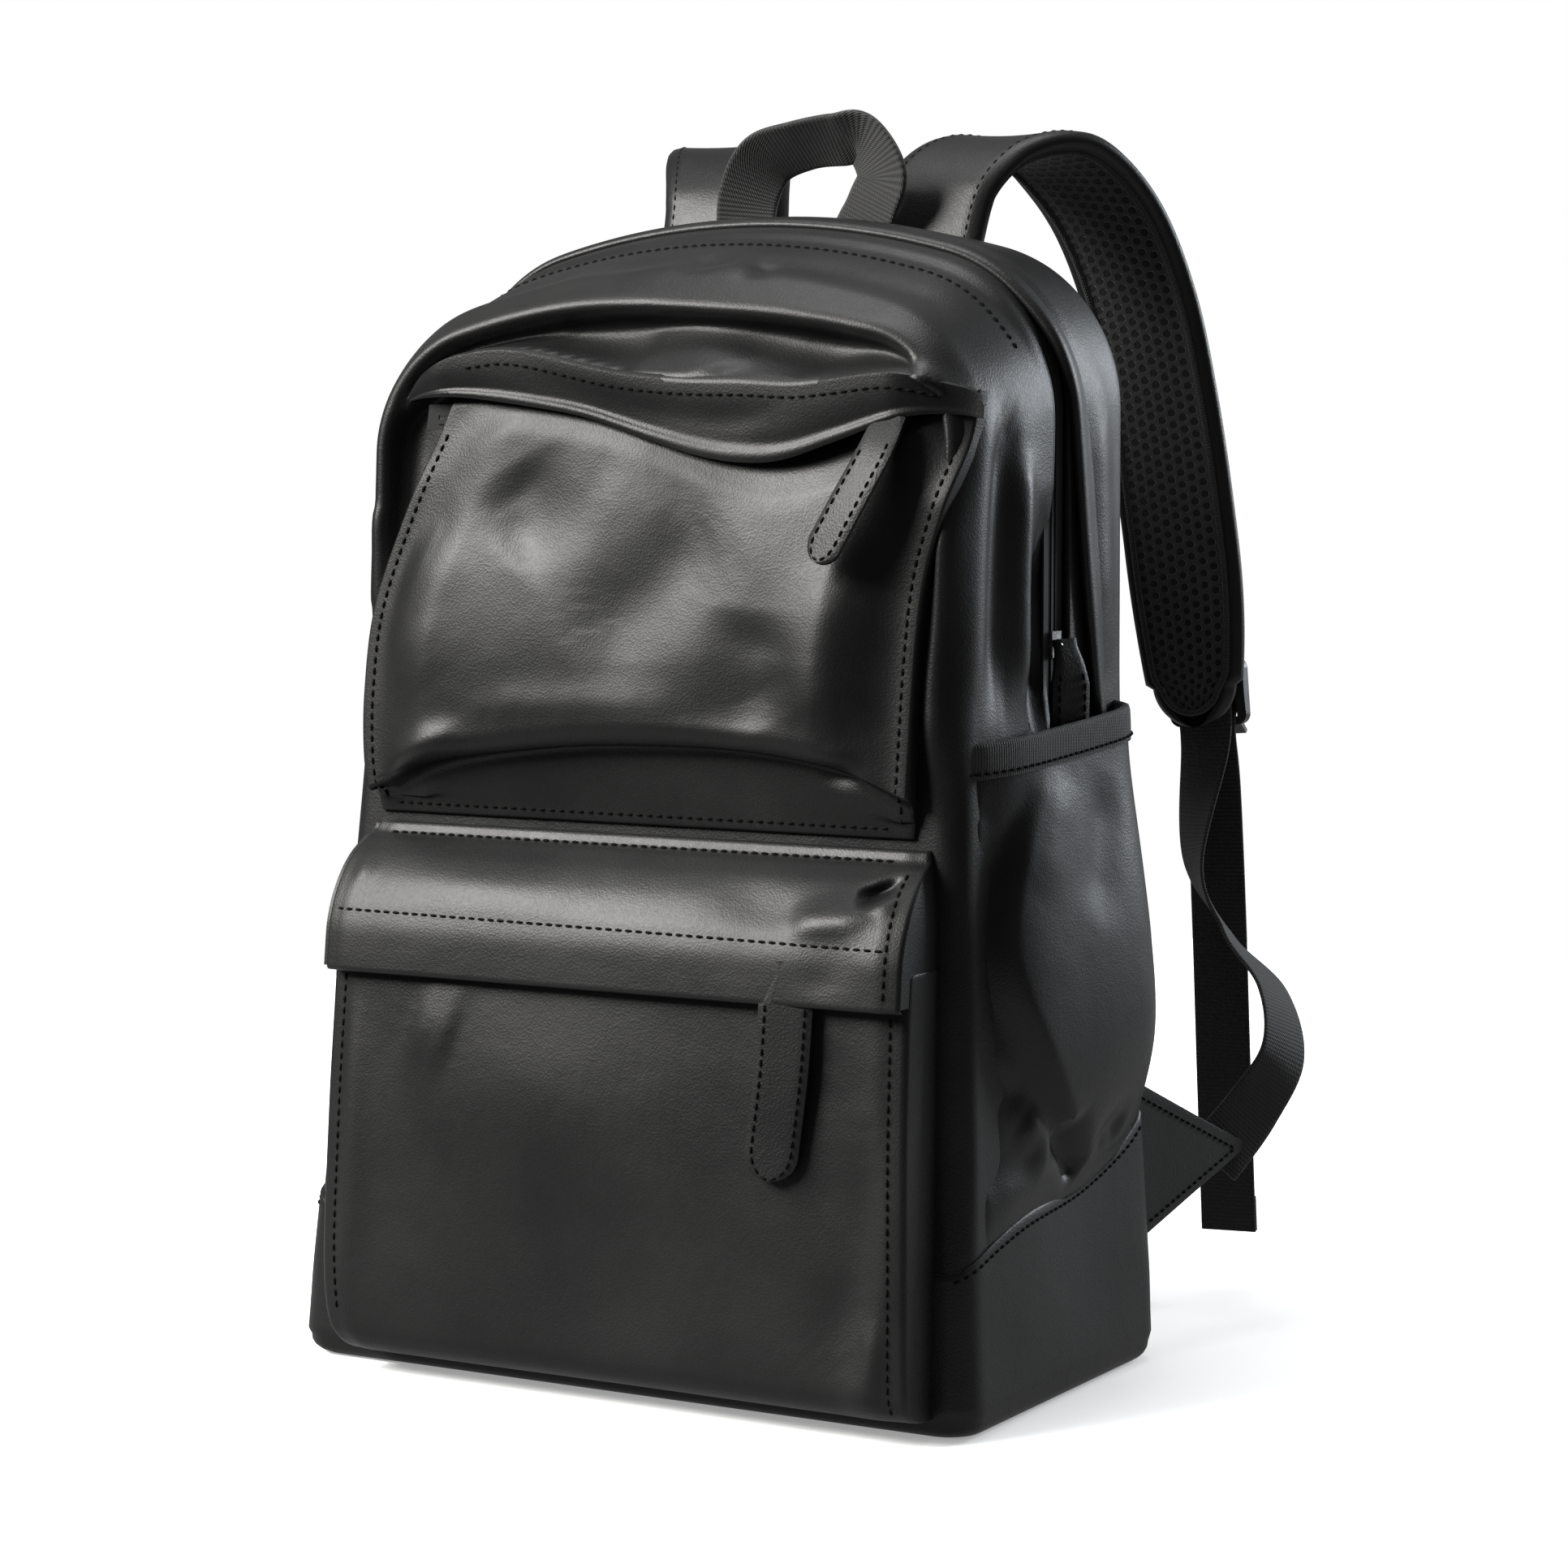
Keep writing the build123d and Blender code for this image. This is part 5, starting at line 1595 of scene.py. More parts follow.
# ---- side pockets -------------------------------------------------------------------------------
@dataclass(frozen=True)
class SidePocket:
    """Open pocket on a side: a loose panel sewn into the seams, with a bound rim.

    Attributes:
        body: the bag's shell, for the boot's seam.
        side: 1 on the right, -1 on the left.
        front_y: depth of the front seam.
        rear_y: depth of the rear seam.
        rim_front: height of the rim at the front.
        rim_rear: height of the rim at the rear.
        binding: height of the binding.
        tallest: how far the fullest part of the rim stands off, which the mouth is a share of.
        mouth: how far the rim stands off, by the depth.
        folds: creases.
        step: line of the long loose fold, as height and depth.
    """

    body: BagBody
    side: int
    front_y: float = -0.0655
    rear_y: float = 0.0735
    rim_front: float = 0.2505
    rim_rear: float = 0.2605
    binding: float = 0.0125
    tallest: float = 0.0135
    mouth: Knots = (
        (-0.09, -0.004), (-0.066, -0.003), (-0.056, 0.0024), (-0.036, 0.0085), (0.0, 0.012), (0.03, 0.0135),
        (0.05, 0.013), (0.063, 0.0088), (0.0735, -0.002), (0.09, -0.01))
    folds: tuple[Fold, ...] = (
        Fold(((0.01, 0.083), (0.002, 0.094), (-0.01, 0.108)), 0.006, -0.0062, Look.RIGHT, 0.25),
        Fold(((-0.022, 0.088), (-0.022, 0.102), (-0.036, 0.112)), 0.0075, 0.0034, Look.RIGHT, 0.3),
        Fold(((-0.056, 0.128), (-0.044, 0.124), (-0.034, 0.116)), 0.0065, -0.0022, Look.RIGHT, 0.35),
        Fold(((0.0, 0.24), (-0.014, 0.216), (-0.026, 0.192)), 0.012, 0.0014, Look.RIGHT, 0.4),
        Fold(((0.034, 0.236), (0.022, 0.206), (0.01, 0.18)), 0.012, -0.002, Look.RIGHT, 0.4),
        Fold(((0.04, 0.098), (0.028, 0.1), (0.018, 0.09)), 0.0075, -0.003, Look.RIGHT, 0.35),
        Fold(((-0.052, 0.226), (-0.054, 0.206)), 0.007, 0.0018, Look.RIGHT, 0.35),
    )
    step: Knots = (
        (0.07, 0.014), (0.09, 0.002), (0.108, -0.014), (0.122, -0.026), (0.137, -0.036), (0.16, -0.049),
        (0.178, -0.053), (0.198, -0.048), (0.223, -0.036), (0.25, -0.016))

    def rim(self, y: Array) -> Array:
        """Height of the rim."""
        return self.rim_front + (self.rim_rear - self.rim_front) * (y - self.front_y) / (self.rear_y - self.front_y)

    def stand(self, y: Array, share: Array) -> Array:
        """How far the panel stands off the bag, from the bottom seam at 0 to the rim at 1.

        Args:
            y: the depth.
            share: the share of the height.

        Returns:
            The distance from the bag.
        """
        belly = through([(-0.2, 0.0), (0.0, 0.001), (0.1, 0.0085), (0.28, 0.018), (0.5, 0.0185), (0.8, 0.0145),
                         (1.0, 0.013), (1.2, 0.0125)], share)
        return belly * through(self.mouth, y) / self.tallest

    def at(self, y: Array, share: Array) -> Array:
        """Points of the panel, on the right-hand side.

        Args:
            y: the depth.
            share: the share of the height.

        Returns:
            The points.
        """
        low = self.body.boot_height(y) - 0.002
        z = low + (self.rim(y) - low) * share
        x = self.body.form.side_x(z) + self.stand(y, share)
        lean = np.maximum(0, self.body.form.front_y(z) + 0.0065 - self.front_y)
        points = np.stack([x, y + lean * (self.rear_y - y) / (self.rear_y - self.front_y), z], axis=-1)
        seams = ease((y - self.front_y) / 0.012) * ease((self.rear_y - y) / 0.012)
        held = ease(share / 0.06) * ease((1 - share) / 0.12) * seams
        away = y - through(self.step, z)
        tall = through([(0.06, 0.0), (0.082, 0.0), (0.104, 0.0076), (0.15, 0.0086), (0.19, 0.0066),
                        (0.215, 0.0042), (0.242, 0.0), (0.27, 0.0)], z)
        stepped = tall * (ease((away + 0.005) / 0.013) - 0.72)
        points[..., 0] += (creased(self.folds, points) + stepped) * held
        return points

    def build(self) -> list[Object]:
        """Makes the panel, its binding and stitches.

        Returns:
            The pieces.
        """
        suffix, flip = "right" if self.side > 0 else "left", (self.side, 1, 1)
        across = np.linspace(self.front_y, self.rear_y, 60)
        loose = Surface(self.at(*np.meshgrid(across, np.linspace(0, 1, 84))) * flip).facing((0, 0, 0.15))
        panel = Piece(f"side_pocket_{suffix}_leather", LEATHER).grid(loose)
        panel = panel.build(thick=0.0014, inner=LINING, smooth=180)
        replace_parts(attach(panel, "bag"), f"side_pocket_{suffix}")
        height, rows = self.rim(across) - self.body.boot_height(across), []
        for drop, lift in ((self.binding, -0.0019), (self.binding, -0.0027), (0.006, -0.0027), (0.001, -0.0026),
                           (-0.0004, -0.002), (-0.0008, -0.0006), (-0.0004, 0.0008), (0.001, 0.0013),
                           (0.004, 0.0014), (0.008, 0.0014), (self.binding, 0.0012), (self.binding, 0.0006)):
            rows.append(self.at(across, 1 - drop / height) + (lift, 0, 0))
        grid = Surface(np.array(rows).transpose(1, 0, 2)[::self.side] * flip)
        bound = Piece(f"side_binding_{suffix}_tape", BINDING).grid(grid).build(smooth=70)
        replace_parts(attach(bound, "bag"), f"side_binding_{suffix}")
        line = (self.at(across, 1 - (self.binding - 0.0022) / height) + (0.0016, 0, 0)) * flip
        normals = np.tile([float(self.side), 0, 0], (len(line), 1))
        sewing = Stitching(pitch=0.004, length=0.003)
        return [panel, bound, sewing.sew(f"binding_stitches_{suffix}", "bag", line, normals)]


# ---- straps -------------------------------------------------------------------------------------
@dataclass(frozen=True)
class ShoulderStrap:
    """Padded strap: leather outside, air mesh inside, piping round its edge, webbing to the base.

    Attributes:
        side: 1 on the right, -1 on the left.
        width: width of the pad.
        tip: its width at the lower end.
        taper: length over which it narrows.
        thick: its thickness.
        cord: radius of the piping.
        wrap: width of the leather's margin on the inside.
        web: width of the webbing.
        web_thick: thickness of the webbing.
        route: middle of the pad, from the back seam over the crest to its lower end.
        adjuster: middle of the webbing between tab and lock.
        turns: its width direction along the way.
        tail: middle of the hanging end, from behind the lock over its bar and down.
        keeper: middle of the loop that holds the lock.
    """

    side: int
    width: float = 0.052
    tip: float = 0.038
    taper: float = 0.075
    thick: float = 0.01
    cord: float = 0.0013
    wrap: float = 0.006
    web: float = 0.025
    web_thick: float = 0.0015
    route: Route = (
        (0.048, 0.086, 0.438), (0.051, 0.097, 0.464), (0.061, 0.117, 0.479), (0.073, 0.141, 0.477),
        (0.085, 0.163, 0.455), (0.094, 0.178, 0.42), (0.101, 0.186, 0.376), (0.107, 0.19, 0.33),
        (0.112, 0.192, 0.285), (0.116, 0.192, 0.242))
    adjuster: Route = (
        (0.15, 0.134, 0.07), (0.16, 0.152, 0.09), (0.168, 0.164, 0.112), (0.158, 0.176, 0.136),
        (0.134, 0.186, 0.156), (0.115, 0.192, 0.186), (0.1166, 0.199, 0.2339), (0.115, 0.2005, 0.252))
    turns: Route = (
        (0.61, 0.35, -0.7), (0.6, 0.45, -0.62), (0.45, 0.75, -0.4), (0.1, 0.95, -0.2), (-0.3, 0.9, -0.1),
        (-0.5, 0.84, 0.0), (-0.66, 0.75, 0.0), (-1.0, 0.0, 0.0))
    tail: Route = (
        (0.1148, 0.2036, 0.2545), (0.1146, 0.2042, 0.258), (0.1146, 0.2068, 0.2595), (0.1147, 0.2086, 0.2575),
        (0.1151, 0.2082, 0.252), (0.1158, 0.204, 0.245), (0.1163, 0.2032, 0.237), (0.118, 0.2048, 0.215),
        (0.1205, 0.2062, 0.16), (0.1232, 0.2064, 0.095), (0.1262, 0.2066, 0.0262))
    keeper: Route = (
        (0.11, 0.199, 0.3119), (0.1125, 0.199, 0.2824), (0.1133, 0.2015, 0.2735), (0.1136, 0.2055, 0.2713),
        (0.1138, 0.209, 0.27), (0.1138, 0.2092, 0.2668), (0.1137, 0.2062, 0.264), (0.1136, 0.2026, 0.2655),
        (0.1134, 0.2, 0.27), (0.1128, 0.1984, 0.278))

    @property
    def name(self) -> str:
        """The side in words."""
        return "right" if self.side > 0 else "left"

    @property
    def flip(self) -> Array:
        """What carries points of the right strap to this side."""
        return np.array([self.side, 1, 1])

    def frames(self, count: int, inset: float = 0.0) -> tuple[Array, Array, Array, Array]:
        """The pad's stations.

        Args:
            count: stations before the rounded end.
            inset: distance kept from the pad's border.

        Returns:
            Middle line, width direction, outward direction and half width.
        """
        line = smooth_path(self.route, count * 4)
        if self.side < 0:
            line = line + np.array([0.008, 0, 0]) * ease((line[:, 2:] - 0.36) / 0.08)
        else:
            line = line - np.array([0.007, 0, 0]) * ease((0.15 - line[:, 1:2]) / 0.05)
        length = np.linalg.norm(np.diff(line, axis=0), axis=1).sum()
        nose = self.tip / 2
        bend = np.linspace(0, pi / 2, 16)[1:]
        steps = np.r_[np.linspace(0, length - nose, count), length - nose + (nose - inset) * np.sin(bend)]
        steps[-1] -= 0.00005
        known = np.linspace(0, length, len(line))
        middle = read_at(steps, known, line)
        tangent = unit(read_at(steps, known, unit(np.gradient(line, axis=0))))
        across = unit(tangent * tangent[:, :1] - np.array([1.0, 0, 0]))
        left = length - steps
        full = self.width - (self.width - self.tip) * np.maximum(0, 1 - left / self.taper) ** 2
        over = np.maximum(0, nose - left)
        rounded = np.sqrt(np.maximum(1e-8, (nose - inset) ** 2 - over ** 2))
        half = np.where(over > 0, rounded, full / 2 - inset)
        return middle, across, np.cross(tangent, across), half

    def leather(self) -> Surface:
        """The leather: outer face, both edges and a narrow margin that wraps onto the inside.

        Returns:
            The surface.
        """
        middle, across, out, half = self.frames(130)
        drop, tall = np.array(((self.wrap, -0.86), (0.0036, -0.84), (0.0018, -0.66), (0.0005, -0.34), (0.0, 0.0),
                               (0.0006, 0.4), (0.0022, 0.74), (0.005, 0.92))).T
        crown = np.linspace(-0.78, 0.78, 13)
        scale = np.minimum(1.0, half / 0.013)[:, None]
        slim = 0.45 + 0.55 * np.clip(half / (self.tip / 2), 0, 1)[:, None]
        near = half[:, None] - drop * scale
        wide = np.hstack([-near, half[:, None] * crown, near[:, ::-1]])
        lift = np.r_[tall, 0.92 + 0.1 * (1 - crown ** 2), tall[::-1]][None] * slim * self.thick / 2
        return self.spread_out(middle, across, out, wide, lift)

    def mesh(self) -> Surface:
        """The air mesh on the inside, within the wrapped leather.

        Returns:
            The surface.
        """
        middle, across, out, half = self.frames(130, self.wrap - 0.0006)
        shares = np.linspace(-1, 1, 23)
        lift = -(0.8 + 0.26 * (1 - np.abs(shares) ** 2.5)) * self.thick / 2
        slim = 0.7 + 0.3 * np.clip(half / 0.012, 0, 1)[:, None]
        return self.spread_out(middle, across, out, half[:, None] * shares, lift[None] * slim)

    def spread_out(self, middle: Array, across: Array, out: Array, wide: Array, lift: Array) -> Surface:
        """A grid over the pad's stations, on this strap's side."""
        points = middle[:, None] + across[:, None] * wide[..., None] + out[:, None] * lift[..., None]
        return Surface(points * self.flip)

    def edge(self, inset: float, lift: float, count: int = 150) -> Array:
        """A line within the pad's border, down one side, round the nose and up the other.

        Args:
            inset: distance from the border.
            lift: height above the pad's middle.
            count: stations before the rounded end.

        Returns:
            The line, with its small corners evened out.
        """
        middle, across, out, half = self.frames(count, inset)
        down = middle + across * half[:, None] + out * lift
        up = middle - across * half[:, None] + out * lift
        line = np.vstack([down, up[::-1]])
        for _ in range(3):
            line = np.vstack([line[:1], (line[:-2] + 2 * line[1:-1] + line[2:]) / 4, line[-1:]])
        return line * self.flip

    def pad(self) -> list[Object]:
        """Leather, mesh and piping of the pad with its edge stitching.

        Returns:
            The pieces.
        """
        body, pieces = f"strap_{self.name}", []
        inside = np.array([0.08 * self.side, 0.12, 0.36])
        for surface, finish, word, outer in ((self.leather(), LEATHER, "leather", True),
                                             (self.mesh(), MESH, "mesh", False)):
            towards = (surface.normals() * (surface.points - inside)).sum(axis=-1).mean() > 0
            grid = surface if towards == outer else Surface(surface.points[:, ::-1])
            piece = Piece(f"strap_{self.name}_{word}_face", finish).grid(grid).build(smooth=180)
            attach(piece, body)
            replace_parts(piece, f"strap_{word}_{self.name}", *([f"strap_foam_{self.name}"] if outer else []))
            pieces.append(piece)
        line = resample(self.edge(self.wrap, -0.86 * self.thick / 2), 460)
        piping = cord_round(f"strap_{self.name}_cord", line, self.cord, self.turning(line))
        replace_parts(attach(piping, body), f"strap_piping_{self.name}")
        points, normals = nearest_on(tree_of(pieces[0]), resample(self.edge(0.0062, 0.006), 500))
        normals = normals * np.sign((normals * self.turning(points)).sum(axis=1, keepdims=True) + 1e-9)
        row = Stitching(pitch=0.0044, length=0.0032, thread=0.00045).sew(
            f"strap_{self.name}_stitches", body, points - normals * 0.0002, normals)
        return pieces + [piping, row]

    def turning(self, line: Array) -> Array:
        """The leather's side, square to the pad, at each point of a line beside it.

        Args:
            line: the line.

        Returns:
            A unit direction for each point.
        """
        middle, _, out, _ = self.frames(80)
        near = np.linalg.norm(line[:, None] - (middle * self.flip)[None], axis=-1).argmin(axis=1)
        return (out * self.flip)[near]

    def strand(self, word: str, path: Array, across: Array, slimmer: float = 0.0, thinner: float = 0.0) -> Object:
        """A length of webbing on this strap's side.

        Args:
            word: what it is called.
            path: its middle line on the right strap.
            across: its width direction there, or one for each point.
            slimmer: how much narrower than the rest it is.
            thinner: how much thinner than the rest it is.

        Returns:
            The webbing.
        """
        turn = np.broadcast_to(across, path.shape) * self.flip
        ribbon = Ribbon(self.web - slimmer, self.web_thick - thinner)
        return ribbon.sweep(f"{word}_{self.name}", path * self.flip, turn)

    def webbing(self) -> list[Object]:
        """Adjuster between tab and lock, hanging tail with its hem, keeper loop.

        Returns:
            The pieces.
        """
        lock, width = f"lock_{self.name}", (-1.0, 0.02, -0.05)
        adjuster = self.strand("adjuster", smooth_path(self.adjuster, 110), smooth_path(self.turns, 110))
        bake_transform(adjuster)
        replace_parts(adjuster, f"adjuster_webbing_{self.name}")
        path = smooth_path(self.tail, 170)
        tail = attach(self.strand("tail", path, width), lock)
        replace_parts(tail, f"tail_webbing_{self.name}")
        end = path[-1]
        hem = np.linspace(end + (0, 0.0015, 0.0004), end + (-0.0007, 0.0015, 0.015), 8)
        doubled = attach(self.strand("hem", hem, width, slimmer=0.0002), lock)
        seam = np.linspace(end + (-0.0105, 0.0024, 0.0125), end + (0.0095, 0.0024, 0.0125), 20) * self.flip
        sewing = Stitching(pitch=0.0036, length=0.0026)
        sewn = sewing.sew(f"hem_stitches_{self.name}", lock, seam, np.tile([0.0, 1, 0], (20, 1)))
        loop = self.strand("keeper", smooth_path(self.keeper, 110), (-1.0, 0, -0.08), thinner=0.0001)
        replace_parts(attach(loop, f"strap_{self.name}"), f"strap_keeper_{self.name}")
        return [adjuster, tail, doubled, sewn, loop]

    def tab(self, form: BagForm) -> list[Object]:
        """Stitched leather triangle that anchors the adjuster in the back seam.

        Args:
            form: the bag's form.

        Returns:
            The tab and its stitches.
        """
        tip, low, high = np.array([0.1575, 0.149, 0.075]), 0.047, 0.112
        roots = [np.array([float(form.side_x(z)) - 0.0035, form.half_depth - 0.01, z]) for z in (low, high)]
        edge = roots[0] + (roots[1] - roots[0]) * np.linspace(0, 1, 16)[:, None]
        grid = edge[:, None] + (tip - edge)[:, None] * np.linspace(0, 0.97, 24)[None, :, None]
        leaf = Surface(grid * self.flip).facing((0, 0.05, 0.08)).raised(0.0022)
        tab = Piece(f"tab_{self.name}", LEATHER).grid(leaf).build(thick=0.0042, bevel=0.001, smooth=60)
        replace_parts(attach(tab, "bag"), f"strap_tab_{self.name}")
        inner = np.array([roots[0] * 0.93 + tip * 0.07 + (0, 0, 0.004),
                          tip * 0.9 + roots[0] * 0.05 + roots[1] * 0.05,
                          roots[1] * 0.93 + tip * 0.07 - (0, 0, 0.004)])
        line = resample(inner * self.flip, 160) + np.array([self.side * 0.01, -0.004, 0])
        sewing = Stitching(pitch=0.004, length=0.003)
        return [tab, sewing.sew(f"tab_stitches_{self.name}", "bag", *nearest_on(tree_of(tab), line))]


# ---- handle, back and inside --------------------------------------------------------------------
@dataclass(frozen=True)
class HaulHandle:
    """Webbing loop whose legs stand flat in the back seam and turn a quarter before the crown.

    Attributes:
        span: half the distance between its legs.
        width: width of the webbing.
        thick: its thickness.
        rise: height of the loop above the seam.
        route: middle line, as shares of the half span and the rise.
        turns: width direction along it.
    """

    span: float = 0.031
    width: float = 0.025
    thick: float = 0.0024
    rise: float = 0.044
    route: Knots = (
        (-1.13, -0.15), (-1.06, 0.25), (-0.8, 0.56), (-0.28, 0.68), (0.26, 0.72), (0.64, 0.71), (0.92, 0.4),
        (0.8, 0.14), (0.6, -0.15))
    turns: Route = (
        (1, 0.1, -0.1), (0.95, 0.25, -0.3), (0.7, 0.45, -0.6), (0.15, 0.7, -0.7), (-0.1, 0.7, -0.7),
        (-0.6, 0.5, -0.65), (-0.95, 0.2, -0.1), (-0.9, 0.1, 0.35), (-1, 0, 0.2))

    def build(self) -> Object:
        """Makes the loop.

        Returns:
            The loop.
        """
        low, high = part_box("haul_handle")
        y, seam = (low.y + high.y) / 2, high.z - self.rise
        path = smooth_path([(self.span * x, y, seam + self.rise * z) for x, z in self.route], 140)
        loop = Ribbon(self.width, self.thick).sweep("haul_loop", path, smooth_path(self.turns, 140))
        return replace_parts(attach(loop, "haul_handle"), "haul_handle")


@dataclass(frozen=True)
class BackPads:
    """Padded air-mesh columns and lumbar pad on the worn side.

    Attributes:
        fill: how soft the pads are; not used.
        voxel: edge of the cubes that a pad is meshed anew with.
        pressure: what the simulation blows it up with.
        cap: the furthest that a point may move.
        frames: how long the simulation runs.
    """

    fill: float = 0.55
    voxel: float = 0.0045
    pressure: float = 4.0
    cap: float = 0.004
    frames: int = 20

    def build(self) -> list[Object]:
        """Makes the three pads, crowned.

        Returns:
            The pads.
        """
        pieces = []
        for name in ("back_pad_lumbar", "back_pad_left", "back_pad_right"):
            node = bpy.data.objects[name]
            piece = bpy.data.objects.new(name + "_mesh", node.data.copy())
            bpy.context.scene.collection.objects.link(piece)
            piece.data.materials.clear()
            self.soften(piece)
            piece.data.materials.append(MESH.material())
            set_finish(piece, MESH.slot)
            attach(piece, "bag")
            pieces.append(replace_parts(piece, name))
        return pieces

    def soften(self, piece: Object) -> None:
        """Remeshes a pad, lets it swell a little and lays its texture out from behind.

        Args:
            piece: the pad.
        """
        remesh = piece.modifiers.new("even", "REMESH")
        remesh.mode, remesh.voxel_size = "VOXEL", self.voxel
        apply_modifiers(piece)
        self.swell(piece)
        piece.modifiers.new("round", "SUBSURF").levels = 1
        smooth = piece.modifiers.new("even", "SMOOTH")
        smooth.iterations, smooth.factor = 4, 0.5
        apply_modifiers(piece)
        lay_out(piece.data, np.array([v.co[:] for v in piece.data.vertices])[:, [0, 2]])
        piece.data.shade_smooth()

    def swell(self, piece: Object) -> None:
        """Inflates a pad with a short cloth simulation.

        Args:
            piece: the pad.
        """
        rest = np.array([v.co[:] for v in piece.data.vertices])
        cloth = piece.modifiers.new("swell", "CLOTH")
        cloth.settings.use_pressure, cloth.settings.uniform_pressure_force = True, self.pressure
        cloth.settings.effector_weights.gravity = 0.0
        for frame in range(1, self.frames + 1):
            bpy.context.scene.frame_set(frame)
        apply_modifiers(piece)
        bpy.context.scene.frame_set(1)
        moved = np.array([v.co[:] for v in piece.data.vertices]) - rest
        far = np.linalg.norm(moved, axis=1, keepdims=True)
        moved = moved * np.minimum(1.0, self.cap / np.maximum(far, 1e-9))
        piece.data.vertices.foreach_set("co", (rest + moved).astype(np.float32).ravel())
        piece.data.update()


# ---- zip pulls and hardware ---------------------------------------------------------------------
@dataclass(frozen=True)
class LeatherPull:
    """Doubled leather pull with a rounded end and a stitched border.

    Attributes:
        name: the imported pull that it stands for, which is also the body that it rides on.
        path: middle line from the slider down, in metres.
        across: width direction.
        width: full width.
        neck: width at the slider.
        thick: thickness in the middle.
        border: distance of the stitches from the edge.
    """

    name: str
    path: Array
    across: Point
    width: float
    neck: float = 0.011
    thick: float = 0.003
    border: float = 0.0028

    def build(self) -> list[Object]:
        """Makes the pull and its stitches.

        Returns:
            The pull and its stitches.
        """
        line = smooth_path(self.path, 90)
        length = np.linalg.norm(np.diff(line, axis=0), axis=1).sum()
        nose, wide, slim = self.width / 2, self.width / 2, self.neck / 2
        steps = np.r_[np.linspace(0, length - nose, 40), length - nose * (1 - np.sin(np.linspace(0, pi / 2, 14)))[1:]]
        middle = read_at(steps, np.linspace(0, length, 90), line)
        half = through([(-0.01, slim), (0.0, slim), (0.004, slim), (0.018, wide), (0.026, wide), (0.2, wide)], steps)
        half = half * np.sqrt(np.maximum(1e-4, 1 - (1 - np.clip((length - steps) / nose, 0, 1)) ** 2))
        side, out = Ribbon(self.width, self.thick).frames(middle, np.tile(self.across, (len(middle), 1)))
        shares = np.linspace(-1, 1, 15)
        flat = middle[:, None] + side[:, None] * shares[None, :, None] * half[:, None, None]
        dome = out[:, None] * ((1 - 0.55 * shares ** 6) * self.thick / 2)[None, :, None]
        rows = Surface(np.concatenate([flat + dome, (flat - dome)[:, ::-1]], axis=1)).facing(middle.mean(axis=0))
        pull = Piece(f"{self.name}_leather", PULL_LEATHER).grid(rows, closed=True).build(smooth=60)
        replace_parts(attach(pull, self.name), self.name)
        inner = half - self.border
        keep = (inner > 0.001) & (steps > 0.012)
        right, left = (middle + side * inner[:, None] * way + out * self.thick / 2 for way in (1, -1))
        path = resample(np.vstack([right[keep], left[keep][::-1]]), 300)
        normals = np.vstack([out[keep], out[keep][::-1]])
        normals = resample(normals + np.arange(len(normals))[:, None] * 1e-6, 300)
        sewing = Stitching(pitch=0.004, length=0.003, thread=0.0005)
        return [pull, sewing.sew(f"{self.name}_stitches", self.name, path, normals)]


def pulls(form: BagForm) -> list[LeatherPull]:
    """The three leather pulls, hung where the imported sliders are.

    Args:
        form: the bag's form.

    Returns:
        The pulls.
    """
    low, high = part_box("main_slider")
    main = np.array([high.x, (low.y + high.y) / 2, (low.z + high.z) / 2]) + (
        (-0.001, 0, 0.002), (0.002, -0.001, -0.012), (0.002, -0.002, -0.04), (0.001, -0.003, -0.062))
    lower_x, upper_x = (sum(corner.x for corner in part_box(name)) / 2 for name in ("lower_slider", "upper_slider"))
    lower = form.on_front(lower_x + np.array([0.001, 0.001, 0, -0.0035]), [0.1735, 0.16, 0.132, 0.0935],
                          [0.029, 0.0295, 0.0292, 0.029])
    upper = form.on_front(upper_x + np.array([0.0175, 0.0165, 0.009, -0.0015]), [0.37, 0.357, 0.339, 0.318],
                          [0.012, 0.0215, 0.0265, 0.0285])
    return [LeatherPull("main_pull", main, (0.42, 0.91, 0), width=0.018),
            LeatherPull("lower_pull", lower, (1, 0.1, 0), width=0.0215),
            LeatherPull("upper_pull", upper, (0.95, -0.25, -0.2), width=0.0165, neck=0.0145)]


def dress_hardware(frame: dict) -> None:
    """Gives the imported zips, sliders, locks and sleeve their finishes.
    """
    finishes = {"zip_tape": TAPE, "zip_metal": METAL, "lock_plastic": PLASTIC, "lining": LINING, "leather": LEATHER,
                "base_leather": BASE_LEATHER, "pull_leather": PULL_LEATHER, "webbing": CLOTH_WEBBING,
                "air_mesh": MESH, "foam": LINING, "piping": BINDING}
    for part in frame["record"]["subparts"]:
        node = frame["nodes"][part["node"]]
        for slot in node.material_slots:
            slot.material = finishes[part["material_slot"]].material()


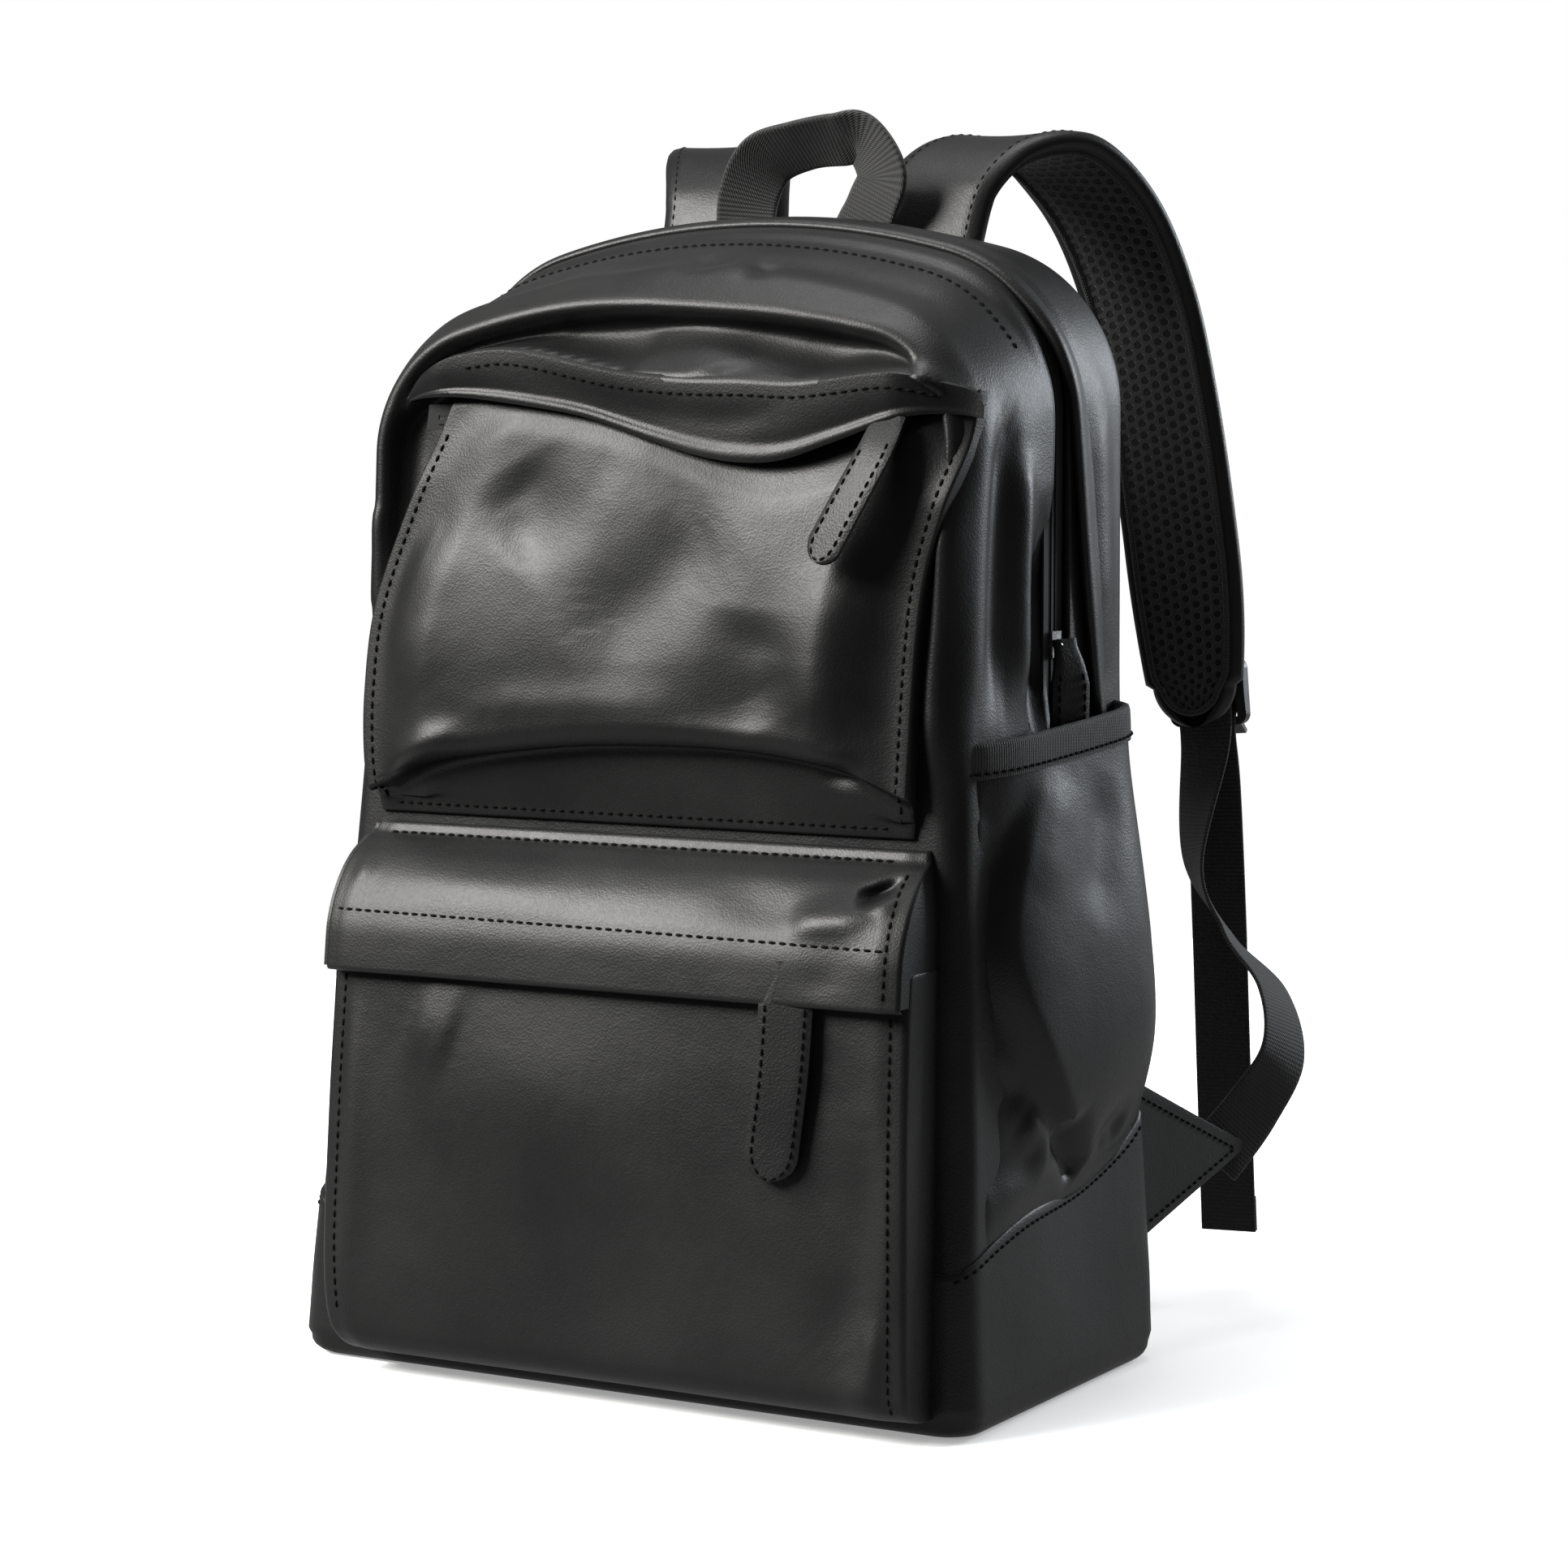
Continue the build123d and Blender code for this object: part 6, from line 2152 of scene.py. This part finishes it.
# ---- studio -------------------------------------------------------------------------------------
@dataclass(frozen=True)
class Studio:
    """White sweep, soft boxes and the camera.

    Attributes:
        place: where the camera stands.
        turn: how it is turned, in degrees.
        lens: its focal length, in millimetres.
        sensor: width of its sensor, in millimetres.
    """

    place: Point = (0.795, -1.343, 0.364)
    turn: Point = (85.0, 0.0, 29.8)
    lens: float = 91.49
    sensor: float = 36.0

    def camera(self) -> None:
        """Sets the camera at the viewer's place."""
        data = bpy.data.cameras.new("camera")
        data.lens, data.sensor_width = self.lens, self.sensor
        camera = bpy.data.objects.new("camera", data)
        camera.location, camera.rotation_euler = self.place, [radians(a) for a in self.turn]
        bpy.context.scene.collection.objects.link(camera)
        bpy.context.scene.camera = camera

    def softbox(self, name: str, place: Point, aim: Point, size: tuple[float, float], watts: float,
                tone: Colour = (1, 1, 1)) -> None:
        """Adds a rectangular area light.

        Args:
            name: its name.
            place: where it stands.
            aim: the point that it faces.
            size: its width and height.
            watts: its power.
            tone: its colour.
        """
        light = bpy.data.lights.new(name, "AREA")
        light.shape, light.size, light.size_y, light.energy, light.color = "RECTANGLE", *size, watts, tone
        lamp = bpy.data.objects.new(name, light)
        lamp.location = place
        lamp.rotation_euler = (Vector(aim) - Vector(place)).to_track_quat("-Z", "Y").to_euler()
        bpy.context.scene.collection.objects.link(lamp)

    def lights(self) -> None:
        """Soft boxes on the front left, behind on the right, and overhead."""
        self.softbox("key", (-1.3, -1.45, 1.6), (0, 0, 0.3), (1.25, 1.25), 165.0, (1.0, 0.985, 0.96))
        self.softbox("side", (0.95, 1.75, 0.85), (0, 0, 0.22), (0.3, 0.9), 24.0, (0.88, 0.94, 1.0))
        self.softbox("top", (-0.1, 0.1, 1.7), (0, 0, 0.3), (0.9, 0.6), 14.0)

    def floor(self) -> Object:
        """A wide pale floor that reads white in view and keeps the bag's shadow.

        Returns:
            The floor.
        """
        piece = Piece("floor", PAPER)
        x, y = np.meshgrid(np.linspace(-0.8, 0.9, 5), np.linspace(-0.42, 1.3, 5))
        ground = piece.grid(Surface(np.stack([x, y, -0.0004 + 0 * x], -1)).facing((0, 0, -1))).build()
        del ground["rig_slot"]
        return ground

    def world(self) -> None:
        """Even light; a gloss sees it dim in front and brighter behind, and the camera sees plain white."""
        world = bpy.data.worlds.new("studio")
        bpy.context.scene.world = world
        world.use_nodes = True
        nodes, tree = Nodes(world.node_tree), world.node_tree.nodes
        lit, rays = tree["Background"], nodes.add("LightPath").outputs
        lit.inputs["Color"].default_value, lit.inputs["Strength"].default_value = WHITE, 0.45
        depth = nodes.add("SeparateXYZ", Vector=nodes.place.outputs["Generated"]).outputs[1]
        gloss = nodes.add("MapRange", {"interpolation_type": "SMOOTHSTEP"}, Value=depth, From_Min=-0.25,
                          From_Max=0.95, To_Min=0.03, To_Max=0.26).outputs[0]
        seen = nodes.add("Background", Color=WHITE, Strength=nodes.math("MAXIMUM", gloss, rays["Is Camera Ray"]))
        direct = nodes.math("MAXIMUM", rays["Is Camera Ray"], rays["Is Glossy Ray"])
        mix = nodes.add("MixShader")
        for socket, source in zip(mix.inputs, (nodes.math("MAXIMUM", direct, rays["Is Transmission Ray"]),
                                               lit.outputs[0], seen.outputs[0])):
            nodes.feed(socket, source)
        nodes.feed(tree["World Output"].inputs[0], mix.outputs[0])
        bpy.context.scene.view_settings.view_transform = "Standard"


def main() -> None:
    """Builds the backpack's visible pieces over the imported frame."""
    logging.basicConfig(level=logging.INFO, format="%(message)s")
    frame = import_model()
    studio = Studio()
    studio.camera()
    dress_hardware(frame)
    form = BagForm.measured()
    relief = Relief(form)
    body = BagBody(form, relief)
    shell, rear, cover, boot = body.front_shell(), body.rear_shell(), body.zip_cover(), body.boot()
    body.under_panels()
    made = [shell, rear, cover, boot, *body.stitches(shell, boot)]
    made += UpperPocket(form, relief).build() + LowerPocket(form).build()
    for side in (1, -1):
        made += SidePocket(body, side).build()
        strap = ShoulderStrap(side)
        made += strap.pad() + strap.webbing() + strap.tab(form)
    made += [HaulHandle().build(), *BackPads().build()]
    for pull in pulls(form):
        made += pull.build()
    studio.lights()
    studio.floor()
    studio.world()
    for piece in made:
        LOG.info("%s: %d faces", piece.name, len(piece.data.polygons))
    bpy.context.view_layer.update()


if __name__ == "__main__":
    main()
